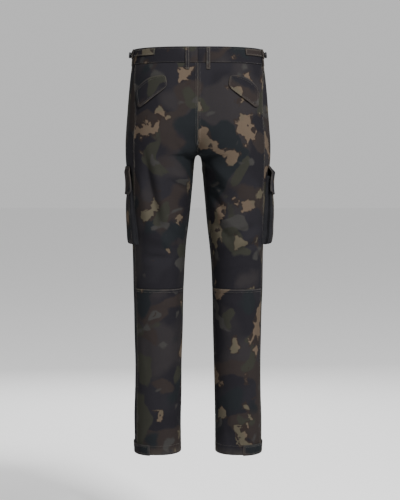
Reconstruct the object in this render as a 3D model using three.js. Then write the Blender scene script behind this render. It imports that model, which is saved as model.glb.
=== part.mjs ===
// Cargo trousers in the shape they have when worn, hollow, with nobody in them. Each leg has a seat panel and a
// calf panel behind, joined across the knee, and one front, whose solid is in two lengths, thigh and shin. A
// waistband with loops and side tabs, a flap over each back pocket, a bellows pocket on each thigh and a tab at
// each hem are sewn on.
// Millimetres. +Z is up, +X is the wearer's left and +Y the wearer's back. The origin is the middle of the
// waist opening, half way up the waistband.

import * as THREE from "three";

// Cloth and the clearances between sewn pieces
const CLOTH = 1.4;
const BAND_WALL = 2.6;
const BAND_PROUD = 1.0;
const HEM_PROUD = 0.7;
const SEAM_GAP = 0.3;
const LAY_GAP = 0.45;

// Heights of the seams and edges
const WAIST_TOP = 18;
const WAIST_SEAM = -23;
const CROTCH = -252;
const KNEE_SEAM = -591;
const HEM = -1013;
const HEM_DEPTH = 26;

// Where the centre seams start to curve under, and how squarely they do
const SEAT_CURVE_TOP = -158;
const FRONT_CURVE_TOP = -172;
const RISE_POWER = 2.3;
const CLEFT_HEIGHT = 70;
const CROTCH_REACH = 120;

// How square the sections are: 2 is an ellipse
const SQUARENESS = 2.25;

// The waist falls from the back to the front, and the hem drops at the back
const FRONT_DIP = 9;
const FRONT_DIP_FADES_AT = -130;
const HEM_DROP = 0.03;
const HEM_DROP_STARTS_AT = -880;

// The side seam lies further back on the wearer's left than on the right
const SEAM_SHIFT = { left: 5, right: -5 };

// Half of the garment at each height. outer and inner are distances from the middle plane, lobe is where the
// section is deepest, back, front and middle are Y of the furthest points and of the widest, seam is Y of the
// side seam.
const SECTIONS = {
  columns: ["z", "outer", "inner", "lobe", "back", "front", "middle", "seam"],
  rows: [
    [18, 165, 0, 18, 108, -97, 3, 43],
    [-23, 168.5, 0, 26, 115, -101, 4, 47],
    [-60, 172.8, 0, 36, 124, -106, 5, 57],
    [-100, 176.6, 0, 50, 133, -111, 6, 75],
    [-145, 179.8, 0, 64, 141, -114, 7, 90],
    [-190, 183, 0, 78, 144, -115, 7, 97.5],
    [-225, 185, 0, 87, 141, -114, 7, 98],
    [-252, 185.2, 0, 92.6, 136, -113, 6, 96],
    [-254, 185.1, 4, 92.9, 135.6, -113, 6, 95.8],
    [-258, 185, 7, 93.5, 134.8, -112.8, 6, 95.4],
    [-276, 183.8, 10, 95.4, 131, -112, 5, 92],
    [-320, 178.2, 13.8, 97.2, 122, -110, 4, 79],
    [-370, 174.4, 19, 98, 112, -107, 2, 65],
    [-420, 171, 24, 98, 103, -103, 0, 52],
    [-481, 167.5, 30.2, 98.9, 93, -97, -2, 42],
    [-540, 166.2, 35, 100.6, 85, -91, -3, 37],
    [-597, 165.6, 37.8, 101.7, 80, -85, -3, 35],
    [-640, 164, 38.9, 101.5, 79, -80, -1, 35],
    [-700, 162.8, 39.8, 101.3, 78.5, -75, 1, 36],
    [-783, 161.6, 41.5, 101.6, 78, -70, 3, 37],
    [-865, 162.3, 43.3, 102.8, 76, -66, 4, 37],
    [-927, 163.6, 44.7, 104.2, 74, -64, 4, 36],
    [-983, 163.2, 44.5, 103.9, 72.5, -62.5, 4, 35],
    [-1016, 161.5, 44.5, 103, 71.5, -62, 4, 35],
  ],
};

// The largest folds, as soft ridges (up is positive) or troughs along a line from one place to another on the
// back or the front. across is the distance from the middle plane, reach how far the fold spreads.
const FOLDS = {
  columns: ["leg", "face", "across", "z", "toAcross", "toZ", "height", "reach"],
  rows: [
    ["left", "back", 131, -285, 98, -450, -5.5, 15],
    ["left", "back", 150, -320, 124, -440, 3, 13],
    ["left", "back", 14, -322, 62, -296, 3.5, 14],
    ["left", "back", 128, -512, 64, -516, -3.5, 13],
    ["left", "back", 112, -458, 72, -480, 3, 14],
    ["right", "back", 12, -300, 70, -372, -5.5, 17],
    ["right", "back", 40, -276, 96, -330, 3, 15],
    ["right", "back", 74, -494, 166, -446, 4.5, 13],
    ["right", "back", 70, -470, 150, -428, -4, 14],
    ["right", "back", 120, -505, 165, -488, 2.5, 12],
    ["left", "front", 14, -300, 92, -258, 4, 15],
    ["left", "front", 18, -330, 104, -300, -4, 15],
    ["left", "front", 60, -560, 150, -545, 4, 15],
    ["left", "front", 70, -600, 160, -625, -3.5, 15],
    ["right", "front", 14, -296, 96, -246, 4, 15],
    ["right", "front", 18, -326, 100, -282, -4, 15],
    ["right", "front", 64, -548, 152, -566, 4, 15],
    ["right", "front", 60, -610, 150, -590, -3.5, 15],
  ],
};

// How near the widest line folds fade out, and how high they still are at their ends
const FOLD_FADE = 30;
const FOLD_END_SHARE = 0.35;

// Back pocket flaps, as distances from the middle plane and heights of the four corners, seen from behind
const BACK_FLAP = {
  topInner: [80, -51],
  topOuter: [156, -91],
  bottomInner: [74, -83],
  bottomOuter: [148, -140],
  topArch: 13,
  archSkew: 1.3,
  width: 86,
  length: 46,
  corner: 20,
  wall: 1.8,
  lift: 3,
};

// Thigh pockets, in distances round the leg from its widest line, the back being positive
const POCKET = {
  width: 160,
  mouth: -304,
  bottom: -479,
  rear: { left: 74, right: 48 },
  depth: { left: 12, right: 22 },
  mouthShare: { left: 0.28, right: 0.55 },
  fillRate: 1.6,
  wall: 1.5,
  cornerRun: 16,
  faceShare: 1.06,
  faceColumns: 5,
  rowsDown: 6,
  foot: [
    [3, 0.86],
    [2, 0.45],
    [0, 0],
  ],
};
const POCKET_FLAP = {
  top: -280,
  bottom: -351,
  overhang: 5,
  wall: 1.8,
  slack: 1.6,
  rise: 9,
  cornerCut: 6,
  edgeShare: 0.75,
  edges: [0, 5, 14],
};

// From the edge of a thigh pocket to its face: how far in from the edge where the bellows lies flat and where
// it stands open, and the share of the full depth
const GUSSET = {
  columns: ["flat", "open", "share"],
  rows: [
    [0, 0, 0],
    [2.5, 5.5, 0.4],
    [5, 2, 0.78],
    [8, 8, 1],
  ],
  openAt: 16,
};

// Belt loops, with the height of each row and how far it stands off the cloth. Then where each loop is: across
// from the middle plane on the back or the front, or round the side from the widest line, over the waist tab.
const LOOP = {
  width: 10,
  wall: 1.5,
  bandReach: 6,
  tabReach: 4,
  rows: [
    [17, 0],
    [13, 0],
    [7, 1.1],
    [-4, 1.6],
    [-14, 1.6],
    [-22, 1.4],
    [-28, 0.6],
    [-40, 0],
  ],
};
const LOOP_PLACES = [
  { name: "back", across: 26, face: "back" },
  { name: "side", round: 38 },
  { name: "front", across: 82, face: "front" },
];

// Waist tabs and their buttons
const TAB = {
  startAcross: { left: 106, right: 118 },
  height: 17,
  middle: 6,
  wall: 2,
  pastButton: 15,
  pointFrom: 0.93,
  pointCut: 0.45,
};
const BUTTON = {
  radius: 8,
  thickness: 5.2,
  rim: 1.6,
  edge: 1.1,
  dish: 1,
  stem: 0.7,
  stemRadius: 6,
  segments: 14,
};

// Fly
const UNDERLAP = { right: 6, left: 46, top: 4, bottom: -168, wall: 1.6, below: 0.5 };
const WAIST_BUTTON_ACROSS = 17;

// Hem tabs
const HEM_TAB = { rearAcross: { left: 121, right: 114 }, ahead: 46, height: 26, below: 1.5, wall: 1.8 };

// How finely each piece is divided: across it, then down it, where there are two numbers
const DIVISIONS = {
  seat: 15,
  calf: 11,
  front: 12,
  band: 2,
  rowStep: { seat: 31, calf: 37 },
  crotchRows: [-254, -252, -250, -245, -236, -222],
  innerShare: 0.4,
  closestShare: 0.4,
  backFlap: [10, 4],
  cargoFlap: [6, 5],
  waistTab: [12, 2],
  hemTab: [10, 2],
  underlap: [6, 10],
};

// Steps over which slopes of the cloth are taken, and how finely its length is measured and searched
const SLOPE_TURN = 0.03;
const SLOPE_HEIGHT = 2;
const RUN_STEPS = 200;
const HALVINGS = 40;

// Where a laid piece is tested against the cloth below it: shares of each of its cells, which of them count as
// at a corner, and how many times its corners are raised
const SETTLING = { samples: [0, 0.2, 0.4, 0.6, 0.8, 1], cornerShare: 0.9, passes: 4 };

const CAMO = new THREE.Color(0x2c2b2c);
const cloth = new THREE.MeshStandardMaterial({ color: CAMO, roughness: 0.9, metalness: 0 });
const horn = new THREE.MeshStandardMaterial({ color: 0x0d0d0e, roughness: 0.35, metalness: 0 });

const trousers = new THREE.Group();
trousers.name = "cargo_trousers";

const SIDES = { left: 1, right: -1 };
const mix = (a, b, t) => a + (b - a) * t;
const clamp = (t, low = 0, high = 1) => Math.min(high, Math.max(low, t));
const smooth = (t) => clamp(t) ** 2 * (3 - 2 * clamp(t));

// A smooth curve through one column of a table against its first, which never overshoots a row
function columnCurve(table, column) {
  const k = table.columns.indexOf(column);
  const rows = [...table.rows].sort((a, b) => a[0] - b[0]);
  const at = rows.map((row) => row[0]);
  const value = rows.map((row) => row[k]);
  const slope = at.slice(1).map((z, i) => (value[i + 1] - value[i]) / (z - at[i]));
  const tangent = at.map((_, i) => {
    const before = slope[Math.max(0, i - 1)];
    const after = slope[Math.min(slope.length - 1, i)];
    return before * after <= 0 ? 0 : (2 * before * after) / (before + after);
  });
  return (z) => {
    const i = clamp(at.findIndex((next) => next > z) - 1, 0, at.length - 2);
    const last = z >= at[at.length - 1] ? at.length - 2 : i;
    const span = at[last + 1] - at[last];
    const t = clamp((z - at[last]) / span);
    return (
      value[last] * (1 + 2 * t) * (1 - t) ** 2 +
      tangent[last] * span * t * (1 - t) ** 2 +
      value[last + 1] * t * t * (3 - 2 * t) -
      tangent[last + 1] * span * t * t * (1 - t)
    );
  };
}

const bodyAt = Object.fromEntries(
  SECTIONS.columns.slice(1).map((name) => [name, columnCurve(SECTIONS, name)]),
);

// Y of the centre seam, back or front: straight down, then a quarter round under to the crotch
function centreSeam(z, full, curveTop) {
  const middle = bodyAt.middle(z);
  const share = clamp((curveTop - z) / (curveTop - CROTCH));
  return middle + (full - middle) * (1 - share ** RISE_POWER) ** (1 / RISE_POWER);
}

// Half of a section. turn is 0 at the centre back seam or inseam, 1 furthest back, 2 widest, 3 furthest
// forward and 4 at the centre front or inseam again.
function outline(z, turn) {
  const outer = bodyAt.outer(z);
  const inner = bodyAt.inner(z);
  const lobe = bodyAt.lobe(z);
  const middle = bodyAt.middle(z);
  const quarter = clamp(Math.floor(turn), 0, 3);
  const angle = ((turn - quarter) * Math.PI) / 2;
  const power = 2 / SQUARENESS;
  const rise = Math.max(0, Math.sin(angle)) ** power;
  const fall = Math.max(0, Math.cos(angle)) ** power;
  if (quarter === 1 || quarter === 2) {
    const deep = quarter === 1 ? bodyAt.back(z) : bodyAt.front(z);
    const out = quarter === 1 ? rise : fall;
    const along = quarter === 1 ? fall : rise;
    return [lobe + (outer - lobe) * out, middle + (deep - middle) * along];
  }
  const atBack = quarter === 0;
  const deep = atBack ? bodyAt.back(z) : bodyAt.front(z);
  const seam = z < CROTCH ? middle : centreSeam(z, deep, atBack ? SEAT_CURVE_TOP : FRONT_CURVE_TOP);
  const t = atBack ? turn : 4 - turn;
  const round = [lobe - (lobe - inner) * (atBack ? fall : rise), seam + (deep - seam) * (atBack ? rise : fall)];
  const soft = [lobe * t, seam + (deep - seam) * smooth(t)];
  const cleft = z < CROTCH ? 1 : 1 - smooth((z - CROTCH) / CLEFT_HEIGHT);
  return [mix(soft[0], round[0], cleft), mix(soft[1], round[1], cleft)];
}

const WAIST_BACK = bodyAt.back(WAIST_TOP);
const WAIST_FRONT = bodyAt.front(WAIST_TOP);

// A point of the smooth surface that one side of the garment follows
function placed(z, turn) {
  const [x, y] = outline(z, turn);
  const forward = clamp((WAIST_BACK - y) / (WAIST_BACK - WAIST_FRONT));
  const dip = FRONT_DIP * forward * smooth((z - FRONT_DIP_FADES_AT) / (WAIST_TOP - FRONT_DIP_FADES_AT));
  const drop = HEM_DROP * y * smooth((HEM_DROP_STARTS_AT - z) / (HEM_DROP_STARTS_AT - HEM));
  return new THREE.Vector3(x, y, z - dip - drop);
}

function outward(z, turn) {
  const along = placed(z, Math.min(4, turn + SLOPE_TURN)).sub(placed(z, Math.max(0, turn - SLOPE_TURN)));
  const above = placed(Math.min(WAIST_TOP, z + SLOPE_HEIGHT), turn);
  const up = above.sub(placed(Math.max(HEM, z - SLOPE_HEIGHT), turn));
  return up.cross(along).normalize();
}

// Height of the folds at a place, faded out towards the widest line of the leg
function foldHeight(leg, across, y, z) {
  const front = y < bodyAt.middle(z);
  const onFace = smooth(Math.abs(y - bodyAt.middle(z)) / FOLD_FADE);
  let height = 0;
  for (const [of, face, x1, z1, x2, z2, high, reach] of FOLDS.rows) {
    if (of !== leg || (face === "front") !== front) continue;
    const run = [x2 - x1, z2 - z1];
    const t = clamp(((across - x1) * run[0] + (z - z1) * run[1]) / (run[0] ** 2 + run[1] ** 2));
    const away = Math.hypot(across - x1 - run[0] * t, z - z1 - run[1] * t);
    height += high * Math.exp(-((away / reach) ** 2)) * mix(Math.sin(Math.PI * t), 1, FOLD_END_SHARE);
  }
  return height * onFace;
}

// How far the outer side of the cloth stands out at the hem, where it is doubled
const proud = (z) => (z < HEM + HEM_DEPTH ? HEM_PROUD : 0);

// A point on one leg's cloth, lift away from its outer side, mirrored for the wearer's right
function onCloth(leg, z, turn, lift) {
  const base = placed(z, turn);
  const height = foldHeight(leg, base.x, base.y, z) + lift;
  const p = base.addScaledVector(outward(z, turn), height);
  p.x = Math.max(p.x, SEAM_GAP / 2) * SIDES[leg];
  return p;
}

function turnWhere(test, low, high) {
  for (let i = 0; i < HALVINGS; i++) {
    const turn = (low + high) / 2;
    if (test(turn)) low = turn;
    else high = turn;
  }
  return (low + high) / 2;
}

const turnAcross = (z, across, face) =>
  face === "back"
    ? turnWhere((turn) => outline(z, turn)[0] < across, 0, 2)
    : turnWhere((turn) => outline(z, turn)[0] > across, 2, 4);

const seamTurn = (leg, z) =>
  turnWhere((turn) => outline(z, turn)[1] > bodyAt.seam(z) + SEAM_SHIFT[leg], 1, 2);

// The length of cloth from the middle plane at the back to each of many turns at one height
const runs = new Map();
function runAt(z) {
  if (!runs.has(z)) {
    const turns = Array.from({ length: 4 * RUN_STEPS + 1 }, (_, i) => i / RUN_STEPS);
    const points = turns.map((turn) => outline(z, turn));
    const run = [0];
    for (let i = 1; i < turns.length; i++)
      run.push(run[i - 1] + Math.hypot(points[i][0] - points[i - 1][0], points[i][1] - points[i - 1][1]));
    runs.set(z, { turns, run });
  }
  return runs.get(z);
}

// Where a rising list reaches a value, and what the other list holds there
function lookUp(list, value, other) {
  const found = list.findIndex((next) => next > value) - 1;
  const i = found < 0 ? (value < list[0] ? 0 : list.length - 2) : found;
  return mix(other[i], other[i + 1], clamp((value - list[i]) / (list[i + 1] - list[i])));
}

const runTo = (z, turn) => lookUp(runAt(z).turns, turn, runAt(z).run);
const turnAfter = (z, run) => lookUp(runAt(z).run, run, runAt(z).turns);

// The turn at a distance round the cloth from its widest line, the back being positive
const turnRound = (z, distance) => turnAfter(z, runTo(z, 2) - distance);

// Turns from one to another that lie evenly along the cloth
const evenTurns = (z, from, to, count) =>
  Array.from({ length: count + 1 }, (_, i) => turnAfter(z, mix(runTo(z, from), runTo(z, to), i / count)));

// The same, but near the crotch the turns by the middle plane are divided apart from the others, so that only
// they follow the curve of the centre seam
function panelTurns(z, from, to, count) {
  const even = evenTurns(z, from, to, count);
  const near = smooth(1 - Math.abs(z - CROTCH) / CROTCH_REACH);
  if (near === 0) return even;
  const few = Math.round(count * DIVISIONS.innerShare);
  const split = from === 0 ? 1 : 3;
  const first = from === 0 ? few : count - few;
  const apart = [...evenTurns(z, from, split, first), ...evenTurns(z, split, to, count - first).slice(1)];
  return even.map((turn, i) => mix(turn, apart[i], near));
}

// A closed solid between two grids of points of the same size
function solidBetween(outer, inner) {
  const rows = outer.length;
  const count = outer[0].length;
  const positions = [...outer.flat(), ...inner.flat()].flatMap((p) => [p.x, p.y, p.z]);
  const id = (layer, j, i) => layer * rows * count + j * count + i;
  const faces = [];
  const quad = (a, b, c, d) => faces.push(a, b, c, a, c, d);
  for (let j = 0; j + 1 < rows; j++)
    for (let i = 0; i + 1 < count; i++) {
      quad(id(0, j, i), id(0, j, i + 1), id(0, j + 1, i + 1), id(0, j + 1, i));
      quad(id(1, j, i), id(1, j + 1, i), id(1, j + 1, i + 1), id(1, j, i + 1));
    }
  for (let i = 0; i + 1 < count; i++) {
    quad(id(0, 0, i), id(1, 0, i), id(1, 0, i + 1), id(0, 0, i + 1));
    quad(id(0, rows - 1, i), id(0, rows - 1, i + 1), id(1, rows - 1, i + 1), id(1, rows - 1, i));
  }
  for (let j = 0; j + 1 < rows; j++) {
    quad(id(0, j, 0), id(0, j + 1, 0), id(1, j + 1, 0), id(1, j, 0));
    quad(id(0, j, count - 1), id(1, j, count - 1), id(1, j + 1, count - 1), id(0, j + 1, count - 1));
  }
  const geometry = new THREE.BufferGeometry();
  geometry.setAttribute("position", new THREE.Float32BufferAttribute(positions, 3));
  geometry.setIndex(facingOut(positions, faces));
  geometry.computeVertexNormals();
  return geometry;
}

// The same faces, turned round if together they hold a negative volume
function facingOut(positions, faces) {
  const corner = (i) => new THREE.Vector3().fromArray(positions, 3 * i);
  let volume = 0;
  for (let i = 0; i < faces.length; i += 3)
    volume += corner(faces[i]).dot(corner(faces[i + 1]).cross(corner(faces[i + 2])));
  if (volume < 0) for (let i = 0; i < faces.length; i += 3) [faces[i], faces[i + 1]] = [faces[i + 1], faces[i]];
  return faces;
}

// Draws the four edges of a grid in by half the gap that a seam keeps
function drawnIn(grid) {
  const rows = grid.length;
  const count = grid[0].length;
  const moved = grid.map((row) => row.map((p) => p.clone()));
  const pull = (p, towards) => p.addScaledVector(towards.clone().sub(p).normalize(), SEAM_GAP / 2);
  for (let j = 0; j < rows; j++) {
    pull(moved[j][0], grid[j][1]);
    pull(moved[j][count - 1], grid[j][count - 2]);
  }
  for (let i = 0; i < count; i++) {
    pull(moved[0][i], grid[1][i]);
    pull(moved[rows - 1][i], grid[rows - 2][i]);
  }
  return moved;
}

function addPiece(name, geometry, material = cloth) {
  const mesh = new THREE.Mesh(geometry, material);
  mesh.name = name;
  trousers.add(mesh);
  return mesh;
}

// Heights from low to high about step apart, and closer together round the crotch
function levels(low, high, rowStep) {
  const { crotchRows } = DIVISIONS;
  const count = Math.round((high - low) / rowStep);
  const even = Array.from({ length: count + 1 }, (_, j) => mix(low, high, j / count));
  const close = crotchRows.filter((z) => z > low && z < high);
  const clear = (z) => z === low || z === high || close.every((c) => Math.abs(c - z) > rowStep * DIVISIONS.closestShare);
  return [...even.filter(clear), ...close].sort((a, b) => a - b);
}

// The panels and bands made so far, for the pieces that lie on them
const ground = { left: [], right: [] };

// A panel of a leg with its corners at the given heights and turns
function panel(leg, name, heights, turns, wall, stands) {
  const layer = (lift) =>
    heights.map((z, j) => turns[j].map((turn) => onCloth(leg, z, turn, lift(z))));
  const outer = layer(stands);
  const inner = layer((z) => Math.min(0, stands(z)) - wall);
  ground[leg].push({ heights, turns, outer });
  addPiece(`${name}_${leg}`, solidBetween(drawnIn(outer), drawnIn(inner)));
}

function legPanels(leg) {
  const toSeam = (across) => (z) => panelTurns(z, 0, seamTurn(leg, z), across);
  const fromSeam = (z) => panelTurns(z, seamTurn(leg, z), 4, DIVISIONS.front);
  const calf = levels(HEM, KNEE_SEAM, DIVISIONS.rowStep.calf);
  const seat = levels(KNEE_SEAM, WAIST_SEAM, DIVISIONS.rowStep.seat);
  panel(leg, "seat_panel", seat, seat.map(toSeam(DIVISIONS.seat)), CLOTH, proud);
  panel(leg, "calf_panel", calf, calf.map(toSeam(DIVISIONS.calf)), CLOTH, proud);
  panel(leg, "front_thigh", seat, seat.map(fromSeam), CLOTH, proud);
  panel(leg, "front_shin", calf, calf.map(fromSeam), CLOTH, proud);
}

// The band has its corners at the same places as the panels below it
function waistband(leg) {
  const rows = DIVISIONS.band;
  const heights = Array.from({ length: rows + 1 }, (_, j) => mix(WAIST_SEAM, WAIST_TOP, j / rows));
  const turns = heights.map((z) => [
    ...evenTurns(z, 0, seamTurn(leg, z), DIVISIONS.seat),
    ...evenTurns(z, seamTurn(leg, z), 4, DIVISIONS.front).slice(1),
  ]);
  const inside = BAND_WALL - BAND_PROUD;
  panel(leg, "waistband", heights, turns, inside, () => BAND_PROUD);
}

// The place of a turn in a row of turns, as a number of columns
const columnOf = (turns, turn) =>
  lookUp(
    turns,
    turn,
    turns.map((_, i) => i),
  );

// The point of the flat facets below a place, on whichever panel covers it
function facetPoint(leg, z, turn) {
  const height = clamp(z, HEM, WAIST_TOP);
  const found = ground[leg].find(({ heights, turns }) => {
    if (height < heights[0] || height > heights.at(-1)) return false;
    const j = clamp(heights.findIndex((next) => next > height) - 1, 0, heights.length - 2);
    return turn >= Math.min(turns[j][0], turns[j + 1][0]) && turn <= Math.max(turns[j].at(-1), turns[j + 1].at(-1));
  });
  const { heights, turns, outer } = found;
  const j = clamp(heights.findIndex((next) => next > height) - 1, 0, heights.length - 2);
  const v = clamp((height - heights[j]) / (heights[j + 1] - heights[j]));
  const column = mix(columnOf(turns[j], turn), columnOf(turns[j + 1], turn), v);
  const i = Math.min(Math.floor(column), turns[j].length - 2);
  return onQuad(outer, j, i, column - i, v);
}

// A point of one cell of a grid, on the two triangles that solidBetween makes of it
function onQuad(grid, j, i, u, v) {
  const [a, b, c, d] = [grid[j][i], grid[j][i + 1], grid[j + 1][i + 1], grid[j + 1][i]];
  const [weightB, weightC, weightD] = u > v ? [u - v, v, 0] : [0, u, v - u];
  return new THREE.Vector3()
    .addScaledVector(a, 1 - weightB - weightC - weightD)
    .addScaledVector(b, weightB)
    .addScaledVector(c, weightC)
    .addScaledVector(d, weightD);
}

// Puts a grid of places on the cloth, and raises its corners until all of it stands clear of the facets
function settled(leg, places) {
  const lifts = places.map((row) => row.map(([, , lift]) => lift));
  const { samples, cornerShare, passes } = SETTLING;
  const points = () =>
    places.map((row, j) => row.map(([z, turn], i) => onCloth(leg, z, turn, lifts[j][i])));
  for (let pass = 0; pass < passes; pass++) {
    const grid = points();
    const raise = lifts.map((row) => row.map(() => 0));
    for (let j = 0; j + 1 < places.length; j++)
      for (let i = 0; i + 1 < places[j].length; i++) {
        const corners = [[j, i], [j, i + 1], [j + 1, i + 1], [j + 1, i]];
        const at = (k, u, v) =>
          mix(mix(places[j][i][k], places[j][i + 1][k], u), mix(places[j + 1][i][k], places[j + 1][i + 1][k], u), v);
        for (const v of samples)
          for (const u of samples) {
            const [z, turn] = [at(0, u, v), at(1, u, v)];
            const out = outward(z, turn);
            out.x *= SIDES[leg];
            const above = onQuad(grid, j, i, u, v).sub(facetPoint(leg, z, turn)).dot(out);
            const short = LAY_GAP - above;
            const isNear = (k) =>
              Math.abs(u - [0, 1, 1, 0][k]) < cornerShare && Math.abs(v - [0, 0, 1, 1][k]) < cornerShare;
            const near = corners.filter((_, k) => isNear(k));
            near.forEach(([y, x]) => (raise[y][x] = Math.max(raise[y][x], short)));
          }
      }
    raise.forEach((row, j) => row.forEach((more, i) => (lifts[j][i] += Math.max(0, more))));
  }
  return points();
}

// A piece that lies on a leg. place(s, t) gives the height, the turn and how far the underside stands off,
// with s across the piece and t down it.
function laidOn(leg, name, [across, down], place, wall) {
  const places = Array.from({ length: down + 1 }, (_, j) =>
    Array.from({ length: across + 1 }, (_, i) => place(i / across, j / down)),
  );
  const under = settled(leg, places);
  const over = under.map((row, j) =>
    row.map((p, i) => {
      const out = outward(places[j][i][0], places[j][i][1]);
      out.x *= SIDES[leg];
      return p.clone().addScaledVector(out, wall);
    }),
  );
  addPiece(`${name}_${leg}`, solidBetween(over, under));
}

// Moves a place near a corner of a rectangle in, so that the corner is round
function roundedOff(across, down, { width, length, corner }) {
  const u = clamp((corner - Math.min(across, width - across)) / corner);
  const v = clamp((corner - Math.min(down, length - down)) / corner);
  const inAcross = corner * u * (1 - Math.sqrt(1 - (v * v) / 2));
  const inDown = corner * v * (1 - Math.sqrt(1 - (u * u) / 2));
  return [across + (across < width / 2 ? inAcross : -inAcross), down + (down < length / 2 ? inDown : -inDown)];
}

function backFlap(leg) {
  const f = BACK_FLAP;
  const place = (column, row) => {
    const [across, down] = roundedOff(column * f.width, row * f.length, f);
    const [s, t] = [across / f.width, down / f.length];
    const arch = f.topArch * Math.sin(Math.PI * s ** f.archSkew) * (1 - t);
    const top = [mix(f.topInner[0], f.topOuter[0], s), mix(f.topInner[1], f.topOuter[1], s) + arch];
    const bottom = [mix(f.bottomInner[0], f.bottomOuter[0], s), mix(f.bottomInner[1], f.bottomOuter[1], s)];
    const z = mix(top[1], bottom[1], t);
    const lift = LAY_GAP + f.lift * t * t * Math.sin(Math.PI * s) ** 0.5;
    return [z, turnAcross(z, mix(top[0], bottom[0], t), "back"), lift];
  };
  laidOn(leg, "back_flap", DIVISIONS.backFlap, place, f.wall);
}

// Depth of a thigh pocket down its length: shallow at the mouth, and full low down
function pocketDepth(leg, z) {
  const t = clamp((POCKET.mouth - z) / (POCKET.mouth - POCKET.bottom));
  return POCKET.depth[leg] * mix(POCKET.mouthShare[leg], 1, smooth(t * POCKET.fillRate));
}

function cargoBag(leg) {
  const { width, mouth, bottom, wall, cornerRun, faceShare, faceColumns, rowsDown, foot } = POCKET;
  const rear = POCKET.rear[leg];
  const edge = GUSSET.rows.map(([flat, open, share]) => ({ flat, open, share }));
  const inset = edge.at(-1).flat;
  const face = Array.from({ length: faceColumns }, (_, i) => {
    const across = mix(inset, width - inset, (i + 1) / (faceColumns + 1));
    return { flat: across, open: across, share: faceShare };
  });
  const farEdge = [...edge].reverse().map(({ flat, open, share }) => ({
    flat: width - flat,
    open: width - open,
    share,
  }));
  const columns = [...edge, ...face, ...farEdge];
  const rows = [
    ...Array.from({ length: rowsDown }, (_, j) => ({
      z: mix(mouth, bottom + cornerRun, j / (rowsDown - 1)),
      share: 1,
    })),
    ...foot.map(([above, share]) => ({ z: bottom + above, share })),
  ];
  // Distance round the leg, height, and depth off the cloth of every corner
  const outer = rows.map((row) => {
    const depth = pocketDepth(leg, row.z) * row.share;
    const opened = clamp(depth / GUSSET.openAt);
    return columns.map(
      (c) => new THREE.Vector3(rear - mix(c.flat, c.open, opened), row.z, LAY_GAP + depth * c.share),
    );
  });
  const inner = outer.map((row, j) =>
    row.map((p, i) => {
      const [before, after] = [row[Math.max(0, i - 1)], row[Math.min(row.length - 1, i + 1)]];
      const [above, below] = [outer[Math.max(0, j - 1)][i], outer[Math.min(outer.length - 1, j + 1)][i]];
      const normal = after.clone().sub(before).cross(above.clone().sub(below)).normalize();
      const inside = p.clone().addScaledVector(normal, -wall * Math.sign(normal.z));
      if (i === 0 || i === row.length - 1) inside.set(p.x + (i === 0 ? -wall : wall), p.y, p.z);
      if (j === outer.length - 1) {
        const middle = rear - width / 2;
        inside.set(middle + (p.x - middle) * (1 - (2 * wall) / width), p.y + wall, p.z);
      }
      inside.z = Math.max(inside.z, LAY_GAP);
      return inside;
    }),
  );
  const onLeg = (grid) => settled(leg, grid.map((row) => row.map((p) => [p.y, turnRound(p.y, p.x), p.z])));
  addPiece(`cargo_bag_${leg}`, solidBetween(onLeg(outer), onLeg(inner)));
}

function cargoFlap(leg) {
  const { top, bottom, overhang, wall, slack, rise, cornerCut, edgeShare, edges } = POCKET_FLAP;
  const [across, down] = DIVISIONS.cargoFlap;
  const corner = edges.at(-1);
  const rear = POCKET.rear[leg] + overhang;
  const width = POCKET.width + 2 * overhang;
  const inner = Array.from({ length: across + 1 }, (_, i) => mix(corner, width - corner, i / across));
  const columns = [...edges.slice(0, -1), ...inner, ...edges.slice(0, -1).reverse().map((d) => width - d)];
  const place = (s, t) => {
    const along = columns[Math.round(s * (columns.length - 1))];
    const fromEdge = Math.min(along, width - along);
    const z = mix(top, bottom + cornerCut * t * (1 - smooth(fromEdge / corner)), t);
    const overBag = smooth((top - z) / (top - POCKET.mouth - rise));
    const crown = mix(edgeShare, 1, smooth(fromEdge / overhang));
    const lift = LAY_GAP + overBag * crown * (pocketDepth(leg, z) * POCKET.faceShare + slack);
    return [z, turnRound(z, rear - along), lift];
  };
  laidOn(leg, "cargo_flap", [columns.length - 1, down], place, wall);
}

function beltLoop(leg, { name, across, face, round }) {
  const { width, wall, rows, bandReach, tabReach } = LOOP;
  const tabFrom = TAB.middle - TAB.height / 2 - tabReach;
  const bandFrom = WAIST_SEAM - bandReach;
  const place = (s, t) => {
    const [z, stand] = rows[Math.round(t * (rows.length - 1))];
    const tab = round && z > tabFrom ? TAB.wall + LAY_GAP : 0;
    const middle = round ? turnRound(z, round) : turnAcross(z, across, face);
    const turn = turnAfter(z, runTo(z, middle) + (s - 0.5) * width);
    return [z, turn, LAY_GAP + (z > bandFrom ? BAND_PROUD : 0) + tab + stand];
  };
  laidOn(leg, `belt_loop_${name}`, [1, rows.length - 1], place, wall);
}

function waistTab(leg) {
  const { startAcross, height, middle, wall, pastButton, pointFrom, pointCut } = TAB;
  const [across] = DIVISIONS.waistTab;
  const startTurn = turnAcross(middle, startAcross[leg], "back");
  const endTurn = turnRound(middle, -pastButton);
  const turns = evenTurns(middle, startTurn, endTurn, across);
  const place = (s, t) => {
    const half = (height / 2) * (1 - pointCut * smooth((s - pointFrom) / (1 - pointFrom)));
    return [middle + mix(half, -half, t), turns[Math.round(s * across)], BAND_PROUD + LAY_GAP];
  };
  laidOn(leg, "waist_tab", DIVISIONS.waistTab, place, wall);
}

// A flat button with a rim and a stem, made at the origin with its axis along +Y
function buttonShape() {
  const { radius, thickness, rim, edge, dish, stem, stemRadius, segments } = BUTTON;
  const profile = [
    [0, -stem],
    [stemRadius, -stem],
    [stemRadius, 0],
    [radius - edge, 0],
    [radius, thickness / 2],
    [radius - edge, thickness],
    [radius - edge - rim, thickness],
    [0, thickness - dish],
  ].map(([r, y]) => new THREE.Vector2(r, y));
  return new THREE.LatheGeometry(profile, segments);
}

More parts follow.
